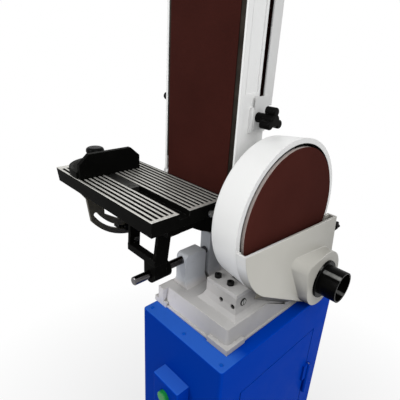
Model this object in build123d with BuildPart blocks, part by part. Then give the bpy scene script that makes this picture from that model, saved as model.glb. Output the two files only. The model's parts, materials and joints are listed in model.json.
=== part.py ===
from build123d import *
import os
from math import asin, atan2, cos, hypot, pi, radians, sin

# Belt and disc sander on a sheet-metal stand. Millimetres.
# X runs along the drive shaft towards the disc, Y runs from the belt's working face to the back, Z is up.
# The origin is on the floor at the middle of the stand. The shaft axis lies above it, at y = 0.

# Clearances
run_gap = 0.05
slide_gap = 0.15
free_gap = 0.4
past = 1.0
bury = 0.5

# Proportions of the star knobs
star_core = 0.8
star_tip = 0.32

# Stand
stand_w = 192.0
stand_d = 330.0
stand_h = 585.0
sheet = 2.5
stand_corner_r = 6.0
floor_flange_w = 28.0
floor_flange_t = 4.0
floor_bolt_y = 240.0
floor_hole_r = 5.5
stand_top_r = 2.0
door_side = 54.0
door_low = 75.0
door_top_drop = 80.0
door_gap = 2.0
hinge_r = 4.0
hinge_pin_r = 2.0
hinge_len = 40.0
hinge_in = 90.0
rivet_r = 3.0
rivet_h = 1.6
rivet_round = 1.1
rivet_in = 12.0
pull_len = 70.0
pull_out = 24.0
pull_r = 4.0
pull_in = 28.0

# Shaft line and disc
shaft_above_stand = 190.0
disc_face_x = 71.0
disc_r = 114.3
abrasive_t = 1.0
disc_plate_t = 4.5
disc_edge_in = 0.3
disc_hub_r = 26.0
disc_hub_len = 22.0
shaft_r = 10.0
shaft_end_r = 8.5
shaft_end_in = 3.0
shaft_step_in = 2.0
shaft_hole_gap = 2.0

# Base casting
base_left = -95.0
base_right = 72.5
base_d = 260.0
base_h = 36.0
base_draft = 9.0
base_wall = 9.0
lip_out = 2.5
lip_h = 4.0
corner_pad_left = 31.0
corner_pad_right = 43.0
corner_pad_out = 5.0
corner_pad_h = 10.0
base_bolt_in = 17.0
base_bolt_r = 4.0
base_boss_r = 10.4
corner_post_w = 14.0
corner_post_out = 5.0
pad_left = -14.0
pad_right = 52.0
pad_d = 184.0
pad_foot_out = 13.0
pad_flare_out = 4.0
pad_flare_low = 6.0
pad_flare_h = 16.0
pad_hole_r = 4.0
pad_hole_in = (31.0, 6.0)
pad_hole_drop = 17.5
pad_hole_depth = 20.0
plug_r = 6.5
plug_y = -74.0
plug_drop = 13.0
plug_depth = 8.0
plug_out = 1.5
plug_slot_w = 2.0
plug_slot_depth = 1.5
foot_drop = 114.0
foot_t = 7.0
foot_screw_y = 77.0
foot_screw_x = 11.0
foot_screw_pitch = 28.0
foot_screw_len = 18.0
foot_screw_spare = 2.0
cap_head_r = 6.0
cap_head_h = 5.5
cap_socket_r = 3.0
cap_shank_r = 4.0

# Posts and bar for the work table
bar_r = 7.0
bar_x = -66.0
bar_drop = 101.0
bar_front_y = -204.0
bar_back_out = 4.0
bar_chamfer = 1.2
post_w = 24.0
front_post_top = 11.0
front_post_corner = 8.0
rear_post_top = 38.0
post_flare = 7.0
post_flare_h = 14.0
front_post_y = (-105.0, -57.0)
rear_post_y = (-48.0, -18.0)
grub_r = 4.0
grub_len = 9.0
grub_socket_depth = 3.0

# Spindle housing and drive
column_right = 12.0
column_half = 52.0
column_wall = 4.5
chamber_wall = 8.0
spigot_r = 28.5
spigot_left_len = 22.0
spigot_right_len = 17.0
bearing_seat_in = 1.0
race_share = 0.28
bearing_r = 23.5
bearing_w = 14.0
end_bearing_r = 20.0
end_bearing_w = 12.0
end_boss_t = 7.0
end_boss_over = 4.0
pulley_w = 15.0
driven_pulley_r = 32.0
motor_pulley_r = 36.0
v_belt_w = 10.0
v_belt_t = 8.0
belt_guard_r = 41.0
belt_guard_t = 2.5
belt_guard_hole_gap = 5.0

# Motor
motor_drop = 113.0
motor_r = 60.0
fin_h = 6.0
fin_t = 3.0
fin_count = 20
motor_left = -190.0
motor_right = -24.0
fan_cover_len = 34.0
bell_len = 16.0
motor_shaft_r = 9.0
motor_foot_half = 52.0
motor_foot_t = 10.0
motor_foot_over = 14.0
motor_shaft_in = 40.0
fan_cover_round = 8.0
fan_cover_wall = 9.0
vent_count = 8
vent_w = 5.0
vent_len = 30.0
box_half_w = 28.0
box_half_h = 24.0
box_depth = 30.0
box_seat_over = 3.0
box_round = 4.0
gland_nut_r = 10.0
gland_nut_t = 6.0
gland_r = 8.0
gland_len = 8.0
gland_bore_r = 4.5
gland_bore_depth = 9.0
motor_bolt_pitch = 66.0
motor_bolt_y = 44.0
bracket_t = 8.0
bracket_flange_h = 90.0
bracket_base_gap = 7.0
bracket_flange_in = 12.0
bracket_lip = 6.0
bracket_back_lip = 8.0
bracket_bolt_drop = (34.0, 72.0)
bracket_bolt_left = 20.0
bracket_bolt_right = 10.0
gusset_in = 10.0
bolt_r = 4.0
bolt_head_r = 7.0
bolt_head_h = 5.5

# Disc shroud, lower guard and dust port
shroud_r = 127.0
shroud_back_r = 120.0
shroud_t = 7.0
shroud_round = 5.0
shroud_bolt_pcd_r = 40.0
shroud_bolt_r = 3.0
shroud_base_gap = 2.0
rim_back = 3.0
guard_depth = 18.0
guard_t = 4.0
guard_top_left_drop = 15.6
guard_top_slope = 2.8
lobe_y = 88.0
lobe_drop = 133.0
lobe_r = 55.5
lobe_rise = 18.0
lobe_step = 0.8
lobe_face_r = 53.0
lobe_face_reach = 58.0
lobe_tip = (10.0, -80.0)
lobe_tip_r = 12.0
guard_lip = 13.0
guard_lip_len = 110.0
guard_lip_in = 2.0
port_flange_r = 36.0
port_flange_t = 4.5
port_r = 28.5
port_t = 3.0
port_len = 37.0
port_round = 1.5
knob_stud_r = 3.0
knob_x_back = 8.0
knob_drop = 57.0
knob_head_r = 9.0
knob_hub_r = 6.0
knob_hub_len = 10.0
knob_head_len = 11.0
knob_arms = 6
tab_half = 10.0
tab_back_len = 10.0
tab_edge_gap = 1.2
tab_disc_in = 2.0

# Sanding belt and its arm
belt_w = 152.0
belt_len = 1219.0
belt_t = 1.0
belt_mid_x = -114.0
drum_r = 35.0
drum_len = 154.0
drum_wall = 7.0
drum_hub_t = 6.0
belt_gap = 0.3
arm_half = 86.0
arm_side_t = 6.0
arm_end_r = 36.5
arm_back_low = 34.0
arm_back_high = 15.0
arm_step_rise = 158.0
arm_step_slope = 12.0
arm_side_top = 425.0
web_t = 8.0
web_rise = 48.0
back_web_low = 12.0
back_web_top = 10.0
front_flange_w = 4.5
panel_inset = 1.5
panel_front_in = 10.0
panel_back_in = 6.0
panel_low_in = 20.0
panel_top_in = 8.0
platen_t = 5.0
platen_edge_gap = 0.5
platen_low_over = 3.0
platen_top_over = 10.0
lip_front = 36.0
lip_rise = 16.0
lip_depth = 10.0
lip_t = 4.0
cover_front = 22.0
cover_back = 44.0
cover_t = 2.5
clamp_rise = 142.0
clamp_y = 8.0
clamp_stud_r = 4.0
clamp_hub_r = 8.0
clamp_hub_len = 17.0
clamp_head_len = 18.0
clamp_lobe_r = 7.0
clamp_lobe_pcd_r = 13.0
clamp_waist = 10.0
clamp_lobes = 3
clamp_round = 2.5
clamp_boss_t = 4.0
clamp_boss_half_z = 20.0
clamp_boss_drop = 5.0
clamp_boss_y = (-7.0, 33.0)
clamp_stud_in = 6.0
arm_bolt_r = 3.0
arm_bolt_rise = 47.0
fork_bar_h = 18.0
fork_half_y = 13.0
stem_r = 9.0
stem_len = 69.0
guide_h = 26.0
guide_drop = 40.0
lever_drop = 40.0
lever_shaft_r = 6.0
lever_gap = 6.0
lever_t = 8.0
lever_len = 70.0
lever_half_w = 7.0
cam_half_w = 9.0
cam_r = 8.0
cam_throw = 8.0
fork_rest_gap = 2.0
idler_bearing_r = 18.0
idler_wall_step = 3.0
axle_nut_t = 3.0
tension_travel = 8.0
spring_r = 13.0
spring_wire_r = 1.5
spring_turns = 3.0
idler_axle_r = 8.0
tracking_rise = 396.0
tracking_y = -4.0
tracking_knob_r = 14.0
tracking_knob_t = 16.0
tracking_screw_r = 4.0
tracking_gap = 0.5
knurl_count = 16
knurl_r = 1.4
cover_top_gap = 7.0
cover_hood_front = -5.0
cover_hood_drop = 20.0
cover_tab_in = 6.0
cover_tab_over = 16.0

# Work table
table_len = 300.0
table_front = -200.0
table_back = -44.0
table_right = -24.0
table_top_rise = 15.6
table_plate_t = 7.0
table_skirt_h = 24.2
table_skirt_t = 6.0
rib_h = 2.0
rib_w = 3.4
rib_pitch = 9.3
rib_slot_gap = 1.2
table_end_slope = 8.0
ear_t = 6.0
ear_over = 5.0
ear_half = 24.0
lock_stud_r = 3.5
slot_y = -139.5
slot_w = 21.0
slot_depth = 10.0
slot_floor_t = 5.0
pivot_y = -84.0
pivot_drop = 2.0
pivot_bolt_r = 4.0
pivot_head_r = 6.0
pivot_head_t = 4.0
pivot_nut_t = 5.0
lug_r = 8.0
quadrant_x = -237.0
quadrant_t = 6.0
quadrant_r = 119.0
quadrant_slot_r = 104.5
quadrant_slot_w = 8.0
quadrant_rest_angle = 78.0
quadrant_over = 0.6
tilt_range = 45.0
quadrant_top_gap = 0.8
quadrant_front_in = 1.5
quadrant_lip_len = 30.0
quadrant_lip_in = 11.0
quadrant_lip_h = 15.0
quadrant_nose_in = 18.0
quadrant_nose_drop = 74.0
window_top_gap = 8.0
window_front = (70.0, 60.0)
window_low = (38.0, 80.0)
window_back = (24.0, 50.0)
window_top_back = 30.0
leg_t = 6.0
leg_right = -50.0
leg_left = -124.0
leg_front = -175.0
leg_depth = (20.0, 26.0)
leg_lean = (4.0, 10.0)
leg_floor_drop = 80.0
leg_floor_t = 12.0
leg_floor_w = 12.0
hub_half_w = 14.5
hub_front = -173.0
hub_back = -138.0
crossbar_front = -166.0
crossbar_back = -143.0
leg_bolt_in = 13.0
leg_bolt_rise = 7.0
leg_bolt_r = 2.5
leg_bolt_out = 3.0
leg_bolt_nut_t = 3.5
leg_bolt_head_t = 4.0
crossbar_low_drop = 22.0
crossbar_top_drop = 6.0
lug_plate_t = 8.0
lug_foot_drop = 22.0
lug_web_back = (13.0, 10.0)
lug_web_front = 32.0
lock_knob_r = 13.0
lock_knob_arms = 5
lock_knob_len = 18.0
lock_washer_t = 5.0

# Miter gauge
miter_bar_w = 20.4
miter_bar_h = 8.5
miter_bar_len = 169.0
miter_face_x = -233.0
miter_half = 62.0
miter_off = 4.0
miter_h = 43.0
miter_face_t = 9.0
miter_corner = (19.0, 17.0)
miter_pivot_back = 22.0
miter_plate_r = 61.0
miter_plate_t = 12.0
miter_knob_r = 17.0
miter_knob_back = 28.5
miter_swing = 45.0
miter_arc_over = 8.0
miter_arc_gap = 1.0
miter_bar_in = 2.0
miter_pin_r = 4.0
miter_stud_r = 4.0
miter_stop_in = 9.0
miter_stop_r = 5.0
miter_stop_gap = 1.0
miter_stop_depth = 3.0
miter_stop_low = 0.5
miter_hub_r = 7.0
miter_hub_len = 14.0
miter_knob_len = 13.0
miter_knob_round = 6.0

# Switch
switch_w = 62.0
switch_h = 96.0
switch_depth = 26.0
switch_drop = 130.0
button_r = 11.0
button_pitch = 40.0
button_out = 7.0
button_travel = 3.5
button_pocket = 14.0
button_spare = 1.0
button_round = 1.5
stop_head_r = 15.4
stop_head_t = 6.0
stop_head_round = 4.0
switch_round = 3.0

# Derived levels and places
shaft_z = stand_h + shaft_above_stand
base_top = stand_h + base_h
base_mid = (base_left + base_right) / 2
base_w = base_right - base_left
foot_top = shaft_z - foot_drop
pad_top = foot_top - foot_t
bar_z = shaft_z - bar_drop
column_left = pad_left
chamber_left = column_left + column_wall
chamber_right = column_right - column_wall
chamber_r = column_half - chamber_wall
pulley_mid = (chamber_left + chamber_right) / 2
motor_z = shaft_z - motor_drop
bracket_front = base_d / 2 + corner_pad_out + bracket_base_gap
motor_y = bracket_front + bracket_lip + motor_foot_half
rim_x = disc_face_x - rim_back
guard_front = rim_x + guard_depth
lobe_front = guard_front + lobe_rise
lobe_z = shaft_z - lobe_drop
lobe_span = hypot(lobe_y, lobe_drop)
guard_turn = asin((shroud_r - lobe_r) / lobe_span)
guard_lean = atan2(-lobe_drop, lobe_y) + pi / 2 - guard_turn
bottom_angle = atan2(-lobe_drop, lobe_y) - pi / 2 + guard_turn
bottom_out = (cos(bottom_angle), sin(bottom_angle))
belt_in_r = drum_r + belt_gap
belt_out_r = belt_in_r + belt_t
idler_rise = (belt_len - 2 * pi * (belt_in_r + belt_t / 2)) / 2
idler_z = shaft_z + idler_rise
arm_left = belt_mid_x - arm_half
arm_right = belt_mid_x + arm_half
drum_left = belt_mid_x - drum_len / 2
drum_right = belt_mid_x + drum_len / 2
platen_front = run_gap - belt_in_r
platen_back = platen_front + platen_t
table_top_z = shaft_z + table_top_rise
table_left = table_right - table_len
pivot_z = shaft_z - pivot_drop
clamp_z = shaft_z + clamp_rise
door_top = stand_h - door_top_drop
door_w = stand_d - 2 * door_side
stand_half_w = stand_w / 2
stand_half_d = stand_d / 2


# Small shapes used by many pieces
def block(x0, x1, y0, y1, z0, z1, mode=Mode.ADD):
    with Locations(((x0 + x1) / 2, (y0 + y1) / 2, (z0 + z1) / 2)):
        Box(abs(x1 - x0), abs(y1 - y0), abs(z1 - z0), mode=mode)


def rod_x(x0, x1, y, z, r, mode=Mode.ADD):
    with Locations(Location(((x0 + x1) / 2, y, z), (0, 90, 0))):
        Cylinder(r, abs(x1 - x0), mode=mode)


def rod_y(y0, y1, x, z, r, mode=Mode.ADD):
    with Locations(Location((x, (y0 + y1) / 2, z), (90, 0, 0))):
        Cylinder(r, abs(y1 - y0), mode=mode)


def rod_z(z0, z1, x, y, r, mode=Mode.ADD):
    with Locations((x, y, (z0 + z1) / 2)):
        Cylinder(r, abs(z1 - z0), mode=mode)


def hexagon(plane, radius, depth, mode=Mode.ADD):
    with BuildSketch(plane) as outline:
        RegularPolygon(radius, 6)
    extrude(outline.sketch, amount=depth, mode=mode)


def lobed(plane, lobe_r, pcd_r, waist, count, depth):
    with BuildSketch(plane) as outline:
        Circle(waist)
        with PolarLocations(pcd_r, count, start_angle=90):
            Circle(lobe_r)
        with PolarLocations(pcd_r / 2, count, start_angle=90):
            Rectangle(pcd_r, waist)
    extrude(outline.sketch, amount=depth)


def star(plane, radius, arms, depth):
    with BuildSketch(plane) as outline:
        Circle(radius * star_core)
        with PolarLocations(radius * (1 - star_tip), arms):
            Circle(radius * star_tip)
    extrude(outline.sketch, amount=depth)


def facing_left(x, y, z):
    return Plane(origin=(x, y, z), x_dir=(0, 1, 0), z_dir=(-1, 0, 0))


def facing_right(x, y, z):
    return Plane(origin=(x, y, z), x_dir=(0, 1, 0), z_dir=(1, 0, 0))


def facing_front(x, y, z):
    return Plane(origin=(x, y, z), x_dir=(1, 0, 0), z_dir=(0, -1, 0))


def facing_back(x, y, z):
    return Plane(origin=(x, y, z), x_dir=(1, 0, 0), z_dir=(0, 1, 0))


def facing_up(x, y, z):
    return Plane(origin=(x, y, z), x_dir=(1, 0, 0), z_dir=(0, 0, 1))


def facing_down(x, y, z):
    return Plane(origin=(x, y, z), x_dir=(1, 0, 0), z_dir=(0, 0, -1))


def side_view(x):
    return Plane(origin=(x, 0, shaft_z), x_dir=(0, 1, 0), z_dir=(1, 0, 0))


def guard_outline(plane, inset):
    with BuildSketch(plane) as outline:
        Circle(shroud_r - inset)
        with Locations((lobe_y, -lobe_drop)):
            Circle(lobe_r - inset)
        make_hull()
    return outline.sketch


# Wedge under the straight bottom edge of the guard's outline, given room all round
def guard_wedge(gap):
    start = guard_lip_in - gap
    deep = guard_depth - guard_lip_in + 3 * gap
    foot = (rim_x - gap, bottom_out[0] * shroud_r - bottom_out[1] * start,
            shaft_z + bottom_out[1] * shroud_r + bottom_out[0] * start)
    along = (0, -bottom_out[1], bottom_out[0])
    with BuildSketch(Plane(origin=foot, x_dir=(1, 0, 0), z_dir=along)) as section:
        with BuildLine():
            Polyline((0, -past), (deep, -past), (deep, 0), (0, guard_lip + 3 * gap), close=True)
        make_face()
    return section.sketch


os.makedirs("parts", exist_ok=True)


def keep(piece, label):
    piece.part.label = label
    export_step(piece.part, "parts/" + label + ".step")


# Stand: folded cabinet, open below, with a door opening on the disc side and flanges for the floor bolts
base_bolt_x = (base_left + base_bolt_in, base_right - base_bolt_in)
base_bolt_y = (-base_d / 2 + base_bolt_in, base_d / 2 - base_bolt_in)
floor_bolt_x = stand_half_w + floor_flange_w / 2
hinge_x = stand_half_w + hinge_r + free_gap
hinge_y = door_w / 2 + door_gap + hinge_pin_r
hinge_z = (door_low + hinge_in, door_top - hinge_in - 2 * hinge_len)
switch_z = stand_h - switch_drop
motor_mid = (motor_left + fan_cover_len + motor_right) / 2
motor_foot_z = stand_h + bracket_t
motor_foot_reach = motor_bolt_pitch / 2 + motor_foot_over
motor_foot_x = (motor_mid - motor_foot_reach, motor_mid + motor_foot_reach)
bracket_back = motor_y + motor_foot_half + bracket_back_lip
bracket_x = (motor_foot_x[0] - bracket_lip, motor_foot_x[1] + bracket_lip)
bracket_low = motor_foot_z - bracket_flange_h
flange_left = -stand_half_w + bracket_flange_in
bracket_bolt_z = [motor_foot_z - drop for drop in bracket_bolt_drop]
bracket_bolt_x = (flange_left + bracket_bolt_left, bracket_x[1] - bracket_bolt_right)

with BuildPart() as stand_cabinet:
    with BuildSketch(Plane.XY):
        RectangleRounded(stand_w, stand_d, stand_corner_r)
    extrude(amount=stand_h)
    fillet(stand_cabinet.faces().sort_by(Axis.Z)[-1].edges(), radius=stand_top_r)
    with BuildSketch(Plane.XY):
        RectangleRounded(stand_w - 2 * sheet, stand_d - 2 * sheet, stand_corner_r - sheet)
    extrude(amount=stand_h - sheet, mode=Mode.SUBTRACT)
    door_edge = door_w / 2 + door_gap
    block(stand_half_w - 2 * sheet, stand_half_w + sheet, -door_edge, door_edge,
          door_low - door_gap, door_top + door_gap, Mode.SUBTRACT)
    for side in (-1, 1):
        flange_in = side * (stand_half_w - sheet)
        flange_out = side * (stand_half_w + floor_flange_w)
        flange_half = stand_half_d - stand_corner_r
        block(flange_in, flange_out, -flange_half, flange_half, 0, floor_flange_t)
        for y in (-floor_bolt_y / 2, floor_bolt_y / 2):
            rod_z(-past, floor_flange_t + past, side * floor_bolt_x, y, floor_hole_r, Mode.SUBTRACT)
    for x in base_bolt_x:
        for y in base_bolt_y:
            rod_z(stand_h - 2 * sheet, stand_h + past, x, y, base_bolt_r, Mode.SUBTRACT)
    for x in bracket_bolt_x:
        for z in bracket_bolt_z:
            rod_y(stand_half_d - 2 * sheet, stand_half_d + past, x, z, bolt_r, Mode.SUBTRACT)
    for z in hinge_z:
        block(stand_half_w - sheet, hinge_x, hinge_y, hinge_y + hinge_r, z, z + hinge_len)
        rod_z(z, z + hinge_len, hinge_x, hinge_y, hinge_r)
        rod_z(z - past, z + hinge_len + past, hinge_x, hinge_y, hinge_pin_r, Mode.SUBTRACT)
keep(stand_cabinet, "stand_cabinet")

# Rivets along the front and back edges of the stand's top
with BuildPart() as stand_rivets:
    for x in (-stand_half_w + rivet_in, 0, stand_half_w - rivet_in):
        rod_z(stand_h, stand_h + rivet_h, x, -stand_half_d + rivet_in, rivet_r)
    for x in (0, stand_half_w - rivet_in):
        rod_z(stand_h, stand_h + rivet_h, x, stand_half_d - rivet_in, rivet_r)
    fillet(stand_rivets.faces().group_by(Axis.Z)[-1].edges(), radius=rivet_round)
keep(stand_rivets, "stand_rivets")

# Door with its half of the hinges, the hinge pins and the pull
with BuildPart() as stand_door:
    block(stand_half_w - sheet, stand_half_w, -door_w / 2, door_w / 2, door_low, door_top)
    for z in hinge_z:
        top = z + hinge_len + free_gap
        block(stand_half_w, hinge_x, door_w / 2 - 3 * hinge_r, door_w / 2, top, top + hinge_len)
        block(stand_half_w + free_gap, hinge_x, door_w / 2, hinge_y, top, top + hinge_len)
        rod_z(top, top + hinge_len, hinge_x, hinge_y, hinge_r)
        rod_z(top - past, top + hinge_len + past, hinge_x, hinge_y, hinge_pin_r + run_gap, Mode.SUBTRACT)
keep(stand_door, "stand_door")

with BuildPart() as hinge_pins:
    for z in hinge_z:
        rod_z(z, z + 2 * hinge_len + free_gap, hinge_x, hinge_y, hinge_pin_r)
keep(hinge_pins, "hinge_pins")

pull_y = -door_w / 2 + pull_in
pull_z = (door_low + door_top) / 2
with BuildPart() as door_pull:
    with BuildLine():
        Polyline((stand_half_w, pull_y, pull_z - pull_len / 2),
                 (stand_half_w + pull_out, pull_y, pull_z - pull_len / 2),
                 (stand_half_w + pull_out, pull_y, pull_z + pull_len / 2),
                 (stand_half_w, pull_y, pull_z + pull_len / 2))
    with BuildSketch(facing_right(stand_half_w, pull_y, pull_z - pull_len / 2)):
        Circle(pull_r)
    sweep(transition=Transition.RIGHT)
keep(door_pull, "door_pull")

# Base casting: hollow tapered plinth with corner pads, a pad for the spindle housing and two posts
relief_r = shroud_r + shroud_base_gap
post_left = bar_x - post_w / 2
post_right = bar_x + post_w / 2
pad_sections = ((pad_foot_out, base_top - past), (pad_flare_out, base_top + pad_flare_low),
                (0, base_top + pad_flare_h), (0, pad_top))
pad_hole_z = pad_top - pad_hole_drop
pad_hole_x = [pad_right - inset for inset in pad_hole_in]
plug_z = pad_top - plug_drop
foot_screw_xs = (foot_screw_x - foot_screw_pitch / 2, foot_screw_x + foot_screw_pitch / 2)

with BuildPart() as base_casting:
    with BuildSketch(facing_up(base_mid, 0, stand_h)):
        RectangleRounded(base_w, base_d, base_wall)
    extrude(amount=base_h, taper=base_draft)
    with BuildSketch(facing_up(base_mid, 0, stand_h)):
        RectangleRounded(base_w + 2 * lip_out, base_d + 2 * lip_out, base_wall)
    extrude(amount=lip_h)
    for side in (-1, 1):
        y_out = side * (base_d / 2 + corner_pad_out)
        left_out = base_left - corner_pad_out
        right_out = base_right + corner_pad_out
        block(left_out, left_out + corner_pad_left, y_out - side * corner_pad_left, y_out,
              stand_h, stand_h + corner_pad_h)
        block(right_out - corner_pad_right, right_out, y_out - side * corner_pad_right, y_out,
              stand_h, stand_h + corner_pad_h)
        post_in = base_left + corner_pad_out
        block(post_in, post_in + corner_post_w, y_out - side * corner_pad_left,
              side * (base_d / 2 + corner_post_out), stand_h, base_top)
    with BuildSketch(facing_up(base_mid, 0, stand_h)):
        Rectangle(base_w - 2 * base_wall, base_d - 2 * base_wall)
    extrude(amount=base_h - base_wall, taper=base_draft, mode=Mode.SUBTRACT)
    for x in base_bolt_x:
        for y in base_bolt_y:
            rod_z(stand_h, base_top - past, x, y, base_boss_r)
    for out, z in pad_sections:
        with BuildSketch(facing_up((pad_left + pad_right) / 2, 0, z)):
            Rectangle(pad_right - pad_left + 2 * out, pad_d + 2 * out)
    loft(ruled=True)
    rod_x(column_right, base_right + base_w, 0, shaft_z, relief_r, Mode.SUBTRACT)
    extrude(guard_outline(side_view(rim_x - shroud_base_gap), -shroud_base_gap), amount=base_w,
            mode=Mode.SUBTRACT)
    extrude(guard_wedge(shroud_base_gap), amount=guard_lip_len + 2 * shroud_base_gap, mode=Mode.SUBTRACT)
    with BuildSketch(Plane.YZ.offset(post_left)) as front_post:
        with BuildLine():
            Polyline((front_post_y[0], base_top - past), (front_post_y[0], bar_z + front_post_top),
                     (front_post_y[1], bar_z + front_post_top), (front_post_y[1], base_top - past),
                     close=True)
        make_face()
        fillet(front_post.vertices().group_by(Axis.Z)[-1], radius=front_post_corner)
    extrude(amount=post_w)
    block(post_left, post_right, rear_post_y[0], rear_post_y[1], base_top - past, bar_z + rear_post_top)
    for y0, y1 in (front_post_y, rear_post_y):
        with BuildSketch(Plane.XZ.offset(-y1)):
            with BuildLine():
                Polyline((post_left, base_top + post_flare_h), (post_left - post_flare, base_top - past),
                         (post_right + post_flare, base_top - past), (post_right, base_top + post_flare_h),
                         close=True)
            make_face()
        extrude(amount=y1 - y0)
    rod_y(front_post_y[0] - past, rear_post_y[1] + past, bar_x, bar_z, bar_r, Mode.SUBTRACT)
    for y0, y1 in (front_post_y, rear_post_y):
        rod_x(post_left - past, bar_x - bar_r, (y0 + y1) / 2, bar_z, grub_r, Mode.SUBTRACT)
    for x in base_bolt_x:
        for y in base_bolt_y:
            rod_z(stand_h - past, base_top - base_wall, x, y, base_bolt_r, Mode.SUBTRACT)
    for x in pad_hole_x:
        rod_y(-pad_d / 2 - pad_foot_out, -pad_d / 2 + pad_hole_depth, x, pad_hole_z, pad_hole_r,
              Mode.SUBTRACT)
    for x in foot_screw_xs:
        for y in (-foot_screw_y, foot_screw_y):
            rod_z(pad_top - foot_screw_len - foot_screw_spare, pad_top + past, x, y, cap_shank_r,
                  Mode.SUBTRACT)
    rod_x(pad_right - plug_depth, base_right + base_w, plug_y, plug_z, plug_r, Mode.SUBTRACT)
keep(base_casting, "base_casting")

with BuildPart() as base_bolts:
    for x in base_bolt_x:
        for y in base_bolt_y:
            rod_z(stand_h - sheet, base_top - base_wall - past, x, y, base_bolt_r)
            hexagon(facing_down(x, y, stand_h - sheet), bolt_head_r, bolt_head_h)
keep(base_bolts, "base_bolts")

with BuildPart() as side_plug:
    plug_face = pad_right + plug_out
    rod_x(pad_right - plug_depth, plug_face, plug_y, plug_z, plug_r)
    block(plug_face - plug_slot_depth, plug_face + past, plug_y - plug_slot_w / 2, plug_y + plug_slot_w / 2,
          plug_z - plug_r, plug_z + plug_r, Mode.SUBTRACT)
keep(side_plug, "side_plug")

with BuildPart() as table_bar:
    rod_y(bar_front_y, rear_post_y[1] + bar_back_out, bar_x, bar_z, bar_r)
    chamfer(table_bar.faces().sort_by(Axis.Y)[0].edges(), length=bar_chamfer)
keep(table_bar, "table_bar")

with BuildPart() as bar_grub_screws:
    for y0, y1 in (front_post_y, rear_post_y):
        grub_y = (y0 + y1) / 2
        grub_left = bar_x - bar_r - grub_len
        rod_x(grub_left, bar_x - bar_r, grub_y, bar_z, grub_r)
        hexagon(facing_right(grub_left - past, grub_y, bar_z), grub_r / 2, grub_socket_depth + past,
                Mode.SUBTRACT)
keep(bar_grub_screws, "bar_grub_screws")

# Spindle housing: foot, tombstone column with the pulley chamber, a spigot each side for the bearings
left_seat = column_left - spigot_left_len
right_seat = column_right + spigot_right_len
left_bearing_x = left_seat + bearing_seat_in
right_bearing_x = right_seat - bearing_seat_in - bearing_w
belt_lean = motor_drop / motor_y
belt_exit_z = shaft_z - column_half * belt_lean
belt_exit_half = belt_guard_r * hypot(1, belt_lean)

with BuildPart() as spindle_housing:
    block(pad_left, pad_right, -pad_d / 2, pad_d / 2, pad_top, foot_top)
    rod_x(column_right, pad_right + past, 0, shaft_z, relief_r, Mode.SUBTRACT)
    with BuildSketch(side_view(column_left)):
        Circle(column_half)
        with Locations((0, -foot_drop / 2)):
            Rectangle(2 * column_half, foot_drop)
    extrude(amount=column_right - column_left)
    rod_x(left_seat, column_left, 0, shaft_z, spigot_r)
    rod_x(column_right, right_seat, 0, shaft_z, spigot_r)
    rod_x(chamber_left, chamber_right, 0, shaft_z, chamber_r, Mode.SUBTRACT)
    block(chamber_left, chamber_right, 0, column_half + past, belt_exit_z - belt_exit_half,
          belt_exit_z + belt_exit_half, Mode.SUBTRACT)
    rod_x(left_seat - past, left_bearing_x + bearing_w, 0, shaft_z, bearing_r, Mode.SUBTRACT)
    rod_x(right_bearing_x, right_seat + past, 0, shaft_z, bearing_r, Mode.SUBTRACT)
    rod_x(left_seat - past, right_seat + past, 0, shaft_z, shaft_r + shaft_hole_gap, Mode.SUBTRACT)
    for x in foot_screw_xs:
        for y in (-foot_screw_y, foot_screw_y):
            rod_z(pad_top - past, foot_top + past, x, y, cap_shank_r, Mode.SUBTRACT)
    with BuildSketch(side_view(chamber_right)):
        with PolarLocations(shroud_bolt_pcd_r, 3, start_angle=90):
            Circle(shroud_bolt_r)
    extrude(amount=column_wall + past, mode=Mode.SUBTRACT)
keep(spindle_housing, "spindle_housing")

with BuildPart() as housing_screws:
    for x in foot_screw_xs:
        for y in (-foot_screw_y, foot_screw_y):
            rod_z(pad_top - foot_screw_len, foot_top, x, y, cap_shank_r)
            rod_z(foot_top, foot_top + cap_head_h, x, y, cap_head_r)
            hexagon(facing_up(x, y, foot_top + cap_head_h / 2), cap_socket_r, cap_head_h, Mode.SUBTRACT)
keep(housing_screws, "housing_screws")


def bearing(x, width, outer_r, bore_r):
    race_t = (outer_r - bore_r) * race_share
    rod_x(x, x + width, 0, shaft_z, outer_r)
    for x0, x1 in ((x, x + past), (x + width - past, x + width)):
        rod_x(x0, x1, 0, shaft_z, outer_r - race_t, Mode.SUBTRACT)
        rod_x(x0, x1, 0, shaft_z, bore_r + race_t)
    rod_x(x - past, x + width + past, 0, shaft_z, bore_r, Mode.SUBTRACT)


with BuildPart() as spindle_bearings:
    bearing(left_bearing_x, bearing_w, bearing_r, shaft_r + run_gap)
    bearing(right_bearing_x, bearing_w, bearing_r, shaft_r + run_gap)
keep(spindle_bearings, "spindle_bearings")

# Rotating spindle
end_seat = arm_left - end_bearing_w
end_boss = end_seat - end_boss_over
disc_back = disc_face_x - abrasive_t - disc_plate_t
shaft_end = disc_face_x - abrasive_t - shaft_end_in

with BuildPart() as drive_shaft:
    rod_x(arm_left + shaft_step_in, shaft_end, 0, shaft_z, shaft_r)
    rod_x(end_seat + past, arm_left + shaft_step_in, 0, shaft_z, shaft_end_r)
keep(drive_shaft, "drive_shaft")

with BuildPart() as drive_drum:
    rod_x(drum_left, drum_right, 0, shaft_z, drum_r)
    for x0, x1 in ((drum_left, belt_mid_x - drum_r / 2), (belt_mid_x + drum_r / 2, drum_right)):
        rod_x(x0, x1, 0, shaft_z, drum_r - drum_wall, Mode.SUBTRACT)
        rod_x(x0, x1, 0, shaft_z, shaft_r + drum_hub_t)
    rod_x(drum_left - past, drum_right + past, 0, shaft_z, shaft_r, Mode.SUBTRACT)
keep(drive_drum, "drive_drum")

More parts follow.
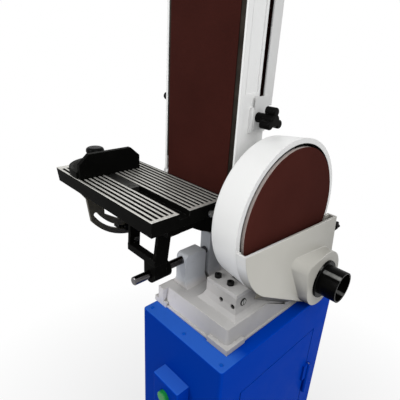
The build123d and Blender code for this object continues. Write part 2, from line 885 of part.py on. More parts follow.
with BuildPart() as disc_plate:
    rod_x(disc_back, disc_face_x - abrasive_t, 0, shaft_z, disc_r - disc_edge_in)
    rod_x(disc_back - disc_hub_len, disc_back, 0, shaft_z, disc_hub_r)
    rod_x(disc_back - disc_hub_len - past, shaft_end, 0, shaft_z, shaft_r, Mode.SUBTRACT)
keep(disc_plate, "disc_plate")

with BuildPart() as abrasive_disc:
    rod_x(disc_face_x - abrasive_t, disc_face_x, 0, shaft_z, disc_r)
keep(abrasive_disc, "abrasive_disc")


def pulley(y, z, rim_r, bore_r):
    groove_half = v_belt_w / 2 + free_gap
    rod_x(pulley_mid - pulley_w / 2, pulley_mid + pulley_w / 2, y, z, rim_r - v_belt_t)
    rod_x(pulley_mid - pulley_w / 2, pulley_mid - groove_half, y, z, rim_r)
    rod_x(pulley_mid + groove_half, pulley_mid + pulley_w / 2, y, z, rim_r)
    rod_x(pulley_mid - pulley_w, pulley_mid + pulley_w, y, z, bore_r, Mode.SUBTRACT)


with BuildPart() as driven_pulley:
    pulley(0, shaft_z, driven_pulley_r, shaft_r)
keep(driven_pulley, "driven_pulley")

# Motor and belt drive behind the head
motor_core_r = motor_r - fin_h
box_x = (motor_mid - box_half_w, motor_mid + box_half_w)
box_face_y = motor_y + motor_r
motor_bolt_x = (motor_mid - motor_bolt_pitch / 2, motor_mid + motor_bolt_pitch / 2)
motor_bolt_ys = (motor_y - motor_bolt_y, motor_y + motor_bolt_y)

with BuildPart() as motor_body:
    rod_x(motor_left + fan_cover_len, motor_right, motor_y, motor_z, motor_core_r)
    rod_x(motor_right - bell_len, motor_right, motor_y, motor_z, motor_r)
    rod_x(motor_left + fan_cover_len, motor_left + fan_cover_len + bell_len, motor_y, motor_z, motor_r)
    for i in range(fin_count):
        angle = 360.0 * (i + 0.5) / fin_count
        with Locations(Location((motor_mid, motor_y, motor_z), (angle, 0, 0))):
            with Locations((0, 0, motor_core_r)):
                Box(motor_right - motor_left - fan_cover_len - bell_len, fin_t, 2 * fin_h)
    block(motor_foot_x[0], motor_foot_x[1], motor_y - motor_foot_half, motor_y + motor_foot_half,
          motor_foot_z, motor_foot_z + motor_foot_t)
    block(motor_foot_x[0], motor_foot_x[1], motor_y - motor_core_r / 2, motor_y + motor_core_r / 2,
          motor_foot_z, motor_z - motor_core_r / 2)
    block(box_x[0] - box_seat_over, box_x[1] + box_seat_over, motor_y + motor_core_r / 2, box_face_y,
          motor_z - box_half_h - box_seat_over, motor_z + box_half_h + box_seat_over)
    rod_x(motor_right - motor_shaft_in, motor_right + past, motor_y, motor_z, motor_shaft_r + run_gap,
          Mode.SUBTRACT)
    for x in motor_bolt_x:
        for y in motor_bolt_ys:
            rod_z(motor_foot_z - past, motor_foot_z + motor_foot_t + past, x, y, bolt_r, Mode.SUBTRACT)
keep(motor_body, "motor_body")

with BuildPart() as motor_fan_cover:
    rod_x(motor_left, motor_left + fan_cover_len, motor_y, motor_z, motor_r)
    fillet(motor_fan_cover.faces().sort_by(Axis.X)[0].edges(), radius=fan_cover_round)
    rod_x(motor_left + sheet, motor_left + fan_cover_len + past, motor_y, motor_z, motor_r - fan_cover_wall,
          Mode.SUBTRACT)
    for i in range(vent_count):
        with Locations(Location((motor_left, motor_y, motor_z), (360.0 * i / vent_count, 0, 0))):
            with Locations((0, 0, motor_r / 2)):
                Box(4 * sheet, vent_w, vent_len, mode=Mode.SUBTRACT)
keep(motor_fan_cover, "motor_fan_cover")

with BuildPart() as motor_shaft:
    rod_x(motor_right - motor_shaft_in + past, pulley_mid + pulley_w / 2, motor_y, motor_z, motor_shaft_r)
keep(motor_shaft, "motor_shaft")

with BuildPart() as motor_pulley:
    pulley(motor_y, motor_z, motor_pulley_r, motor_shaft_r)
keep(motor_pulley, "motor_pulley")

with BuildPart() as v_belt:
    for inset, mode in ((0, Mode.ADD), (v_belt_t, Mode.SUBTRACT)):
        with BuildSketch(side_view(pulley_mid - v_belt_w / 2)) as loop:
            Circle(driven_pulley_r + belt_gap - inset)
            with Locations((motor_y, -motor_drop)):
                Circle(motor_pulley_r + belt_gap - inset)
            make_hull()
        extrude(amount=v_belt_w, mode=mode)
keep(v_belt, "v_belt")

with BuildPart() as belt_guard:
    for inset, mode in ((0, Mode.ADD), (belt_guard_t, Mode.SUBTRACT)):
        with BuildSketch(side_view(column_left + inset)) as cover:
            Circle(belt_guard_r - inset)
            with Locations((motor_y, -motor_drop)):
                Circle(belt_guard_r - inset)
            make_hull()
        extrude(amount=column_right - column_left - 2 * inset, mode=mode)
    block(column_left - past, column_right + past, -column_half, column_half,
          shaft_z - 2 * column_half, shaft_z + 2 * column_half, Mode.SUBTRACT)
    rod_x(column_left - past, column_left + 2 * belt_guard_t, motor_y, motor_z,
          motor_shaft_r + belt_guard_hole_gap, Mode.SUBTRACT)
keep(belt_guard, "belt_guard")

with BuildPart() as terminal_box:
    gland_y = box_face_y + box_depth / 2
    block(box_x[0], box_x[1], box_face_y, box_face_y + box_depth, motor_z - box_half_h, motor_z + box_half_h)
    gland_end = box_x[0] - gland_nut_t - gland_len
    fillet(terminal_box.faces().sort_by(Axis.Y)[-1].edges(), radius=box_round)
    hexagon(facing_left(box_x[0], gland_y, motor_z), gland_nut_r, gland_nut_t)
    rod_x(gland_end, box_x[0] - gland_nut_t, gland_y, motor_z, gland_r)
    rod_x(gland_end - past, box_x[0] + gland_bore_depth, gland_y, motor_z, gland_bore_r, Mode.SUBTRACT)
keep(terminal_box, "terminal_box")

with BuildPart() as motor_bracket:
    block(bracket_x[0], bracket_x[1], bracket_front, bracket_back, motor_foot_z - bracket_t, motor_foot_z)
    block(flange_left, bracket_x[1], stand_half_d, stand_half_d + bracket_t, bracket_low, motor_foot_z)
    with BuildSketch(Plane.YZ.offset(flange_left)):
        with BuildLine():
            Polyline((stand_half_d + past, bracket_low + gusset_in),
                     (bracket_back - gusset_in, motor_foot_z - past),
                     (stand_half_d + past, motor_foot_z - past), close=True)
        make_face()
    extrude(amount=bracket_t)
    for x in motor_bolt_x:
        for y in motor_bolt_ys:
            rod_z(motor_foot_z - bracket_t - past, motor_foot_z + past, x, y, bolt_r, Mode.SUBTRACT)
    for x in bracket_bolt_x:
        for z in bracket_bolt_z:
            rod_y(stand_half_d - past, stand_half_d + bracket_t + past, x, z, bolt_r, Mode.SUBTRACT)
keep(motor_bracket, "motor_bracket")

with BuildPart() as motor_bolts:
    for x in motor_bolt_x:
        for y in motor_bolt_ys:
            head_z = motor_foot_z + motor_foot_t
            rod_z(motor_foot_z - bracket_t, head_z, x, y, bolt_r)
            hexagon(facing_up(x, y, head_z), bolt_head_r, bolt_head_h)
            if y - bolt_head_r > stand_half_d + bracket_t:
                hexagon(facing_down(x, y, motor_foot_z - bracket_t), bolt_head_r, bolt_head_h)
keep(motor_bolts, "motor_bolts")

with BuildPart() as bracket_bolts:
    for x in bracket_bolt_x:
        for z in bracket_bolt_z:
            rod_y(stand_half_d - sheet, stand_half_d + bracket_t, x, z, bolt_r)
            hexagon(facing_back(x, stand_half_d + bracket_t, z), bolt_head_r, bolt_head_h)
            hexagon(facing_front(x, stand_half_d - sheet, z), bolt_head_r, bolt_head_h)
keep(bracket_bolts, "bracket_bolts")

# Disc shroud: drafted pan with a flat back bolted to the housing, and a tab for the guard's knob
tip_span = hypot(lobe_tip[0] - lobe_y, lobe_tip[1] + lobe_drop)
knob_x = rim_x + knob_x_back
knob_z = shaft_z - knob_drop
guard_side_y = (shroud_r + knob_drop * sin(guard_lean)) / cos(guard_lean)
tab_out = guard_side_y - guard_t - tab_edge_gap
tab_in = disc_r - tab_disc_in
shroud_mid_x = (column_right + rim_x) / 2
shroud_depth = rim_x - column_right

with BuildPart() as disc_shroud:
    with Locations(Location((shroud_mid_x, 0, shaft_z), (0, 90, 0))):
        Cone(shroud_back_r, shroud_r, shroud_depth)
    fillet(disc_shroud.faces().sort_by(Axis.X)[0].edges(), radius=shroud_round)
    with Locations(Location((shroud_mid_x + shroud_t, 0, shaft_z), (0, 90, 0))):
        Cone(shroud_back_r - shroud_t, shroud_r - shroud_t, shroud_depth, mode=Mode.SUBTRACT)
    rod_x(column_right - past, column_right + 2 * shroud_t, 0, shaft_z, spigot_r + slide_gap, Mode.SUBTRACT)
    with BuildSketch(side_view(column_right - past)):
        with PolarLocations(shroud_bolt_pcd_r, 3, start_angle=90):
            Circle(shroud_bolt_r)
    extrude(amount=2 * shroud_t, mode=Mode.SUBTRACT)
    block(rim_x - tab_back_len, guard_front - guard_t - past, tab_in, tab_out, knob_z - tab_half,
          knob_z + tab_half)
    rod_y(tab_in - past, tab_out + past, knob_x, knob_z, knob_stud_r + run_gap, Mode.SUBTRACT)
keep(disc_shroud, "disc_shroud")

with BuildPart() as shroud_bolts:
    with BuildSketch(side_view(chamber_right)):
        with PolarLocations(shroud_bolt_pcd_r, 3, start_angle=90):
            Circle(shroud_bolt_r)
    extrude(amount=column_wall + shroud_t)
    with BuildSketch(side_view(column_right + shroud_t)):
        with PolarLocations(shroud_bolt_pcd_r, 3, start_angle=90):
            Circle(2 * shroud_bolt_r)
    extrude(amount=shroud_bolt_r)
keep(shroud_bolts, "shroud_bolts")


def teardrop(plane, radius, reach):
    tip_y = lobe_y + (lobe_tip[0] - lobe_y) * reach / tip_span
    tip_z = -lobe_drop + (lobe_tip[1] + lobe_drop) * reach / tip_span
    with BuildSketch(plane) as outline:
        with Locations((lobe_y, -lobe_drop)):
            Circle(radius)
        with Locations((tip_y, tip_z)):
            Circle(lobe_tip_r)
        make_hull()
    return outline.sketch


# Lower guard: box below a slanting top edge, a wedge under it and a broad hump that rises to the dust port
hollow_r = lobe_r - guard_t
hollow_face_r = lobe_face_r - 2 * guard_t
above_line = 2 * shroud_r
guard_fall = sin(radians(guard_top_slope))
guard_top_left = -guard_top_left_drop + (above_line - shroud_r) * guard_fall
guard_top_right = -guard_top_left_drop - (above_line + shroud_r) * guard_fall

with BuildPart() as lower_guard:
    extrude(guard_outline(side_view(rim_x), 0), amount=guard_depth)
    extrude(guard_wedge(0), amount=guard_lip_len)
    hump_foot = teardrop(side_view(guard_front - bury), lobe_r - lobe_step, tip_span)
    hump_face = teardrop(side_view(lobe_front), lobe_face_r, lobe_face_reach)
    loft([hump_foot.face(), hump_face.face()])
    with BuildSketch(side_view(rim_x - past)):
        with BuildLine():
            Polyline((-above_line, guard_top_left), (above_line, guard_top_right), (above_line, above_line),
                     (-above_line, above_line), close=True)
        make_face()
    extrude(amount=guard_depth + lobe_rise + 2 * past, mode=Mode.SUBTRACT)
    extrude(guard_outline(side_view(rim_x + guard_t), guard_t), amount=guard_depth - 2 * guard_t,
            mode=Mode.SUBTRACT)
    rod_x(rim_x - past, rim_x + guard_t + past, 0, shaft_z, shroud_r - shroud_t, Mode.SUBTRACT)
    hollow_foot = teardrop(side_view(guard_front - guard_t - bury), hollow_r, hollow_r)
    hollow_face = teardrop(side_view(lobe_front - guard_t), hollow_face_r, hollow_face_r)
    loft([hollow_foot.face(), hollow_face.face()], mode=Mode.SUBTRACT)
    rod_x(lobe_front - 2 * guard_t, lobe_front + past, lobe_y, lobe_z, port_r - port_t, Mode.SUBTRACT)
    block(rim_x - past, rim_x + guard_t + past, tab_in - past, tab_out + slide_gap, knob_z - tab_half - past,
          knob_z + tab_half + past, Mode.SUBTRACT)
    rod_y(tab_out - past, guard_side_y + lobe_r, knob_x, knob_z, knob_stud_r + run_gap, Mode.SUBTRACT)
keep(lower_guard, "lower_guard")

with BuildPart() as dust_port:
    rod_x(lobe_front, lobe_front + port_flange_t, lobe_y, lobe_z, port_flange_r)
    fillet(dust_port.faces().sort_by(Axis.X)[-1].edges(), radius=port_round)
    rod_x(lobe_front, lobe_front + port_len, lobe_y, lobe_z, port_r)
    rod_x(lobe_front - past, lobe_front + port_len + past, lobe_y, lobe_z, port_r - port_t, Mode.SUBTRACT)
keep(dust_port, "dust_port")

# Star knob that clamps the lower guard to the tab on the shroud
knob_hub_y = guard_side_y + knob_hub_r * sin(guard_lean) + slide_gap
with BuildPart() as guard_knob:
    head_y = knob_hub_y + knob_hub_len
    rod_y(tab_in, knob_hub_y, knob_x, knob_z, knob_stud_r)
    rod_y(knob_hub_y, head_y, knob_x, knob_z, knob_hub_r)
    star(facing_back(knob_x, head_y, knob_z), knob_head_r, knob_arms, knob_head_len)
keep(guard_knob, "guard_knob")

# Belt arm: side plates, web behind the platen, pivot ring on the housing's spigot, outboard bearing boss
side_in_left = arm_left + arm_side_t
side_in_right = arm_right - arm_side_t
guide_low = arm_side_top - guide_drop
guide_top = guide_low + guide_h
lever_z = shaft_z + guide_low - lever_drop
arm_bolt_x = (side_in_right + arm_right) / 2
tracking_z = shaft_z + tracking_rise
clamp_boss_mid_z = clamp_z - clamp_boss_drop

with BuildPart() as arm_frame:
    for x in (arm_left, side_in_right):
        with BuildSketch(side_view(x)):
            with BuildLine():
                Polyline((platen_back, 0), (platen_back, arm_side_top), (arm_back_high, arm_side_top),
                         (arm_back_high, arm_step_rise + arm_step_slope), (arm_back_low, arm_step_rise),
                         (arm_back_low, 0), close=True)
            make_face()
            Circle(arm_end_r)
        extrude(amount=arm_side_t)
    block(side_in_left, side_in_right, platen_back, platen_back + web_t, shaft_z + web_rise,
          shaft_z + arm_side_top)
    block(side_in_left, side_in_right, arm_back_high, arm_back_high + web_t,
          shaft_z + web_rise + back_web_low, shaft_z + arm_step_rise - back_web_top)
    block(side_in_left, side_in_right, platen_back, fork_half_y, shaft_z + guide_low, shaft_z + guide_top)
    block(arm_right, arm_right + lip_t, -lip_front, -lip_front + lip_depth, shaft_z + lip_rise,
          shaft_z + arm_side_top)
    block(arm_left, arm_left + front_flange_w, -lip_front, platen_back, shaft_z + lip_rise,
          shaft_z + arm_side_top)
    rod_x(end_boss, arm_left, 0, shaft_z, end_bearing_r + end_boss_t)
    rod_x(end_seat, side_in_left + past, 0, shaft_z, end_bearing_r, Mode.SUBTRACT)
    rod_x(side_in_right - past, arm_right + past, 0, shaft_z, spigot_r + run_gap, Mode.SUBTRACT)
    for x0, x1 in ((arm_right, arm_right + clamp_boss_t), (arm_left - clamp_boss_t, arm_left)):
        block(x0, x1, clamp_boss_y[0], clamp_boss_y[1], clamp_boss_mid_z - clamp_boss_half_z,
              clamp_boss_mid_z + clamp_boss_half_z)
        rod_x(x0 - arm_side_t - past, x1 + arm_side_t + past, clamp_y, clamp_z, clamp_stud_r + run_gap,
              Mode.SUBTRACT)
    rod_z(shaft_z + guide_low - past, shaft_z + guide_top + past, belt_mid_x, 0, stem_r + slide_gap,
          Mode.SUBTRACT)
    rod_x(arm_left - past, side_in_left + past, 0, lever_z, lever_shaft_r + run_gap, Mode.SUBTRACT)
    rod_x(belt_mid_x, arm_right + past, tracking_y, tracking_z, tracking_screw_r + run_gap, Mode.SUBTRACT)
    rod_y(arm_back_high, arm_back_low + past, arm_bolt_x, shaft_z + arm_bolt_rise, arm_bolt_r, Mode.SUBTRACT)
    block(arm_right - panel_inset, arm_right + past, platen_back + panel_front_in,
          arm_back_high - panel_back_in, shaft_z + arm_step_rise + panel_low_in,
          tracking_z - tracking_knob_r - panel_top_in, Mode.SUBTRACT)
keep(arm_frame, "arm_frame")

with BuildPart() as arm_bearing:
    bearing(end_seat, end_bearing_w, end_bearing_r, shaft_end_r + run_gap)
keep(arm_bearing, "arm_bearing")

with BuildPart() as arm_clamp_bolt:
    rod_y(arm_back_high, arm_back_low, arm_bolt_x, shaft_z + arm_bolt_rise, arm_bolt_r)
    hexagon(facing_back(arm_bolt_x, arm_back_low, shaft_z + arm_bolt_rise), 2 * arm_bolt_r, arm_bolt_r)
keep(arm_clamp_bolt, "arm_clamp_bolt")

with BuildPart() as platen:
    block(arm_left + front_flange_w + platen_edge_gap, arm_right - platen_edge_gap, platen_front, platen_back,
          shaft_z + web_rise - platen_low_over, shaft_z + arm_side_top + platen_top_over)
keep(platen, "platen")

with BuildPart() as sanding_belt:
    for r, mode in ((belt_out_r, Mode.ADD), (belt_in_r, Mode.SUBTRACT)):
        with BuildSketch(side_view(belt_mid_x - belt_w / 2)):
            Circle(r)
            with Locations((0, idler_rise)):
                Circle(r)
            make_hull()
        extrude(amount=belt_w, mode=mode)
keep(sanding_belt, "sanding_belt")

# Idler roller on its fork, pressed up by a spring and let down by a cam lever
fork_low = arm_side_top + tension_travel + fork_rest_gap
fork_low_z = shaft_z + fork_low
stem_end_z = fork_low_z - stem_len

with BuildPart() as idler_fork:
    block(arm_left, arm_right, -fork_half_y, fork_half_y, fork_low_z, fork_low_z + fork_bar_h)
    for x in (arm_left, side_in_right):
        block(x, x + arm_side_t, -fork_half_y, fork_half_y, fork_low_z, idler_z)
        rod_x(x, x + arm_side_t, 0, idler_z, fork_half_y)
        rod_x(x - past, x + arm_side_t + past, 0, idler_z, idler_axle_r, Mode.SUBTRACT)
    rod_z(stem_end_z, fork_low_z, belt_mid_x, 0, stem_r)
keep(idler_fork, "idler_fork")

with BuildPart() as idler_axle:
    rod_x(arm_left, arm_right, 0, idler_z, idler_axle_r)
    for plane in (facing_left(arm_left, 0, idler_z), facing_right(arm_right, 0, idler_z)):
        hexagon(plane, 1.5 * idler_axle_r, axle_nut_t)
keep(idler_axle, "idler_axle")

with BuildPart() as idler_roller:
    rod_x(drum_left, drum_right, 0, idler_z, drum_r)
    rod_x(drum_left, drum_right, 0, idler_z, idler_bearing_r - idler_wall_step, Mode.SUBTRACT)
    rod_x(drum_left - past, drum_left + end_bearing_w, 0, idler_z, idler_bearing_r, Mode.SUBTRACT)
    rod_x(drum_right - end_bearing_w, drum_right + past, 0, idler_z, idler_bearing_r, Mode.SUBTRACT)
keep(idler_roller, "idler_roller")

with BuildPart() as idler_bearings:
    for x in (drum_left, drum_right - end_bearing_w):
        rod_x(x, x + end_bearing_w, 0, idler_z, idler_bearing_r)
        rod_x(x - past, x + end_bearing_w + past, 0, idler_z, idler_axle_r + run_gap, Mode.SUBTRACT)
keep(idler_bearings, "idler_bearings")

coil_low = shaft_z + guide_top + spring_wire_r + slide_gap
coil_len = fork_low - guide_top - 2 * (spring_wire_r + slide_gap)
with BuildPart() as tension_spring:
    with BuildLine() as coil:
        Helix(coil_len / spring_turns, coil_len, spring_r, center=(belt_mid_x, 0, coil_low))
    with BuildSketch(Plane(coil.line @ 0, z_dir=coil.line % 0)):
        Circle(spring_wire_r)
    sweep(is_frenet=True)
keep(tension_spring, "tension_spring")

lever_in = arm_left - lever_gap
with BuildPart() as tension_lever:
    rod_x(lever_in - lever_t, belt_mid_x + cam_half_w, 0, lever_z, lever_shaft_r)
    with BuildSketch(facing_right(belt_mid_x - cam_half_w, 0, lever_z)):
        Circle(cam_r)
        with Locations((0, cam_throw)):
            Circle(cam_r)
        make_hull()
    extrude(amount=2 * cam_half_w)
    with BuildSketch(facing_left(lever_in, 0, lever_z)):
        Circle(lever_half_w * 1.5)
        with Locations((0, lever_len)):
            Circle(lever_half_w)
        make_hull()
    extrude(amount=lever_t)
keep(tension_lever, "tension_lever")

with BuildPart() as tracking_knob:
    rod_x(belt_mid_x + stem_r + tracking_gap, arm_right + tracking_gap, tracking_y, tracking_z,
          tracking_screw_r)
    with BuildSketch(facing_right(arm_right + tracking_gap, tracking_y, tracking_z)):
        Circle(tracking_knob_r)
        with PolarLocations(tracking_knob_r, knurl_count):
            Circle(knurl_r, mode=Mode.SUBTRACT)
    extrude(amount=tracking_knob_t)
keep(tracking_knob, "tracking_knob")

# Sheet cover over the back of the belt, held by a lobed knob on each side
cover_left = arm_left - clamp_boss_t
cover_right = arm_right + clamp_boss_t
cover_low = shaft_z + arm_step_rise
cover_top = idler_z + belt_out_r + cover_top_gap
hood_low = idler_z + drum_r - cover_hood_drop
with BuildPart() as rear_cover:
    block(cover_left, cover_right, cover_back - cover_t, cover_back, cover_low, cover_top)
    block(cover_left, cover_right, cover_hood_front, cover_back, cover_top - cover_t, cover_top)
    for x0, x1, tab0, tab1 in ((cover_right - cover_t, cover_right, cover_right, cover_right + cover_t),
                               (cover_left, cover_left + cover_t, cover_left - cover_t, cover_left)):
        block(x0, x1, cover_front, cover_back, cover_low, cover_top)
        block(x0, x1, cover_hood_front, cover_back, hood_low, cover_top)
        block(tab0, tab1, clamp_boss_y[0] + cover_tab_in, clamp_boss_y[1], clamp_z - clamp_boss_half_z,
              cover_low + cover_tab_over)
        rod_x(tab0 - past, tab1 + past, clamp_y, clamp_z, clamp_stud_r + run_gap, Mode.SUBTRACT)
keep(rear_cover, "rear_cover")

clamp_out = clamp_boss_t + cover_t + slide_gap
right_hub_x = arm_right + clamp_out
left_hub_x = arm_left - clamp_out
right_head_x = right_hub_x + clamp_hub_len
left_head_x = left_hub_x - clamp_hub_len

with BuildPart() as cover_knob_right:
    lobed(facing_right(right_head_x, clamp_y, clamp_z), clamp_lobe_r, clamp_lobe_pcd_r, clamp_waist,
          clamp_lobes, clamp_head_len)
    fillet(cover_knob_right.faces().sort_by(Axis.X)[-1].edges(), radius=clamp_round)
    rod_x(right_hub_x, right_head_x, clamp_y, clamp_z, clamp_hub_r)
    rod_x(side_in_right - clamp_stud_in, right_hub_x, clamp_y, clamp_z, clamp_stud_r)
keep(cover_knob_right, "cover_knob_right")

with BuildPart() as cover_knob_left:
    lobed(facing_left(left_head_x, clamp_y, clamp_z), clamp_lobe_r, clamp_lobe_pcd_r, clamp_waist,
          clamp_lobes, clamp_head_len)
    fillet(cover_knob_left.faces().sort_by(Axis.X)[0].edges(), radius=clamp_round)
    rod_x(left_head_x, left_hub_x, clamp_y, clamp_z, clamp_hub_r)
    rod_x(left_hub_x, side_in_left + clamp_stud_in, clamp_y, clamp_z, clamp_stud_r)
keep(cover_knob_left, "cover_knob_left")

# Work table: ribbed plate with a miter slot, skirts on the front and ends, and an ear for the tilt lock
groove_z = table_top_z - rib_h
plate_low = groove_z - table_plate_t
skirt_low = table_top_z - table_skirt_h
slot_front = slot_y - slot_w / 2
slot_back = slot_y + slot_w / 2
quadrant_left = quadrant_x - quadrant_t / 2
quadrant_right = quadrant_x + quadrant_t / 2
ear_right = quadrant_left - free_gap
ear_left = ear_right - ear_t
rest_angle = radians(quadrant_rest_angle)
lock_y = pivot_y - quadrant_slot_r * cos(rest_angle)
lock_z = pivot_z - quadrant_slot_r * sin(rest_angle)
lug_right = table_right - table_skirt_t - free_gap
lug_left = lug_right - lug_plate_t
front_ribs = int((slot_front - table_front - rib_w) / rib_pitch) + 1
back_ribs = int((table_back - slot_back - rib_slot_gap - rib_w) / rib_pitch) + 1

with BuildPart() as table_top:
    block(table_left, table_right, table_front, table_back, plate_low, groove_z)
    block(table_left, table_right, table_front, table_front + table_skirt_t, skirt_low, groove_z)
    for x0, x1 in ((table_left, table_left + table_end_slope + table_skirt_t),
                   (table_right - table_skirt_t, table_right)):
        block(x0, x1, table_front, table_back, skirt_low, table_top_z)
    block(table_left, table_right, slot_front - slot_floor_t, slot_back + slot_floor_t,
          table_top_z - slot_depth - slot_floor_t, groove_z)
    for start, count in ((table_front, front_ribs), (slot_back + rib_slot_gap, back_ribs)):
        for i in range(count):
            rib_y = start + i * rib_pitch
            block(table_left, table_right, rib_y, rib_y + rib_w, groove_z, table_top_z)
    block(table_left - past, table_right + past, slot_front, slot_back, table_top_z - slot_depth,
          table_top_z + past, Mode.SUBTRACT)
    with BuildSketch(Plane.XZ.offset(-table_back)):
        with BuildLine():
            Polyline((table_left, groove_z), (table_left + table_end_slope, skirt_low),
                     (table_left, skirt_low), close=True)
        make_face()
    extrude(amount=table_back - table_front, mode=Mode.SUBTRACT)
    with BuildSketch(Plane.YZ.offset(ear_left)):
        with Locations((pivot_y, pivot_z)):
            Circle(lug_r + ear_over)
        with Locations((lock_y, lock_z)):
            Circle(2 * lock_stud_r)
        make_hull()
    extrude(amount=ear_t)
    block(ear_left, ear_right, pivot_y - ear_half, pivot_y + ear_half, pivot_z, plate_low)
    rod_x(table_right - table_skirt_t - past, table_right + past, pivot_y, pivot_z, pivot_bolt_r,
          Mode.SUBTRACT)
    rod_x(ear_left - past, ear_right + past, pivot_y, pivot_z, pivot_bolt_r, Mode.SUBTRACT)
    rod_x(ear_left - past, ear_right + past, lock_y, lock_z, lock_stud_r + run_gap, Mode.SUBTRACT)
keep(table_top, "table_top")

# Bracket: bored hub on the bar, yoke, crossbar and the right-hand pivot lug
hub_x0 = bar_x - hub_half_w
hub_x1 = bar_x + hub_half_w
floor_z0 = shaft_z - leg_floor_drop
floor_z1 = floor_z0 + leg_floor_t
bar_low_z = shaft_z - crossbar_low_drop
bar_top_z = shaft_z - crossbar_top_drop
leg_bolt_y = leg_front + leg_bolt_in
leg_bolt_z = floor_z1 + leg_bolt_rise

with BuildPart() as table_bracket:
    block(leg_left, leg_right, leg_front, leg_front + leg_floor_w, floor_z0, floor_z1)
    for x, depth, lean in zip((leg_left, leg_right - leg_t), leg_depth, leg_lean):
        leg_back = leg_front + depth
        with BuildSketch(Plane.YZ.offset(x)):
            with BuildLine():
                Polyline((leg_front, floor_z0), (leg_back, floor_z0), (leg_back + lean, bar_top_z),
                         (leg_front + lean, bar_top_z), close=True)
            make_face()
        extrude(amount=leg_t)
    block(hub_x0, hub_x1, hub_front, leg_back, bar_z, floor_z0 + past)
    rod_y(hub_front, hub_back, bar_x, bar_z, hub_half_w)
    rod_y(hub_front - past, hub_back + past, bar_x, bar_z, bar_r + run_gap, Mode.SUBTRACT)
    block(quadrant_right, lug_right, crossbar_front, crossbar_back, bar_low_z, bar_top_z)
    with BuildSketch(Plane.YZ.offset(lug_left)):
        with BuildLine():
            Polyline((crossbar_front, bar_top_z), (pivot_y - lug_r, bar_top_z), (pivot_y + lug_r, bar_top_z),
                     (pivot_y + 2 * lug_r, bar_low_z), (pivot_y + 2 * lug_r, bar_low_z - lug_foot_drop),
                     (pivot_y - lug_web_back[0], bar_low_z - lug_web_back[1]),
                     (pivot_y - lug_web_front, bar_low_z + past), (crossbar_front, bar_low_z), close=True)
        make_face()
        with Locations((pivot_y, pivot_z)):
            Circle(lug_r)
    extrude(amount=lug_plate_t)
    rod_x(lug_left - past, lug_right + past, pivot_y, pivot_z, pivot_bolt_r + run_gap, Mode.SUBTRACT)
    rod_x(leg_left - past, leg_left + leg_t + past, leg_bolt_y, leg_bolt_z, leg_bolt_r, Mode.SUBTRACT)
keep(table_bracket, "table_bracket")

with BuildPart() as leg_bolt:
    rod_x(leg_left - leg_bolt_out, leg_left + leg_t, leg_bolt_y, leg_bolt_z, leg_bolt_r)
    hexagon(facing_right(leg_left + leg_t, leg_bolt_y, leg_bolt_z), 2 * leg_bolt_r, leg_bolt_nut_t)
    hexagon(facing_left(leg_left, leg_bolt_y, leg_bolt_z), 2 * leg_bolt_r, leg_bolt_head_t)
keep(leg_bolt, "leg_bolt")

# Quadrant plate with the arc slot for the tilt lock
quadrant_top = skirt_low - quadrant_top_gap
quadrant_front_y = table_front + quadrant_front_in
quadrant_low = pivot_z - quadrant_r
lip_y = quadrant_front_y + quadrant_lip_in
lip_back_y = quadrant_front_y + quadrant_lip_len
lip_low_z = quadrant_top - quadrant_lip_h
nose_y = quadrant_front_y + quadrant_nose_in
window_top = bar_low_z - window_top_gap
quadrant_arc = CenterArc((pivot_y, pivot_z), quadrant_slot_r,
                         180 + quadrant_rest_angle - tilt_range - quadrant_over,
                         tilt_range + 2 * quadrant_over)
with BuildPart() as table_quadrant:
    with BuildSketch(Plane.YZ.offset(quadrant_left)):
        with Locations((pivot_y, pivot_z)):
            Circle(quadrant_r)
        with BuildLine():
            Polyline((quadrant_front_y, quadrant_top), (pivot_y + lug_r, quadrant_top),
                     (pivot_y + 2 * lug_r, quadrant_low), (nose_y, quadrant_low),
                     (nose_y, pivot_z - quadrant_nose_drop), (lip_y, lip_low_z), close=True)
        make_face(mode=Mode.INTERSECT)
        with BuildLine():
            Polyline((quadrant_front_y, quadrant_top), (lip_back_y, quadrant_top), (lip_back_y, lip_low_z),
                     (lip_y, lip_low_z), close=True)
        make_face()
        with Locations((pivot_y, pivot_z)):
            Circle(lug_r)
        with BuildLine():
            Polyline((pivot_y - window_front[0], window_top),
                     (pivot_y - window_front[0], pivot_z - window_front[1]),
                     (pivot_y - window_low[0], pivot_z - window_low[1]),
                     (pivot_y - window_back[0], pivot_z - window_back[1]),
                     (pivot_y - window_top_back, window_top), close=True)
        make_face(mode=Mode.SUBTRACT)
        SlotArc(quadrant_arc, quadrant_slot_w, mode=Mode.SUBTRACT)
    extrude(amount=quadrant_t)
    rod_x(quadrant_left - past, quadrant_right + past, pivot_y, pivot_z, pivot_bolt_r + run_gap,
          Mode.SUBTRACT)
keep(table_quadrant, "table_quadrant")

pivot_nut_x = (lug_left - free_gap, quadrant_right + free_gap)
with BuildPart() as pivot_bolts:
    rod_x(pivot_nut_x[0] - pivot_nut_t, table_right, pivot_y, pivot_z, pivot_bolt_r)
    hexagon(facing_right(table_right, pivot_y, pivot_z), pivot_head_r, pivot_head_t)
    hexagon(facing_left(pivot_nut_x[0], pivot_y, pivot_z), pivot_head_r, pivot_nut_t)
    rod_x(ear_left, pivot_nut_x[1] + pivot_nut_t, pivot_y, pivot_z, pivot_bolt_r)
    hexagon(facing_left(ear_left, pivot_y, pivot_z), pivot_head_r, pivot_head_t)
    hexagon(facing_right(pivot_nut_x[1], pivot_y, pivot_z), pivot_head_r, pivot_nut_t)
keep(pivot_bolts, "pivot_bolts")

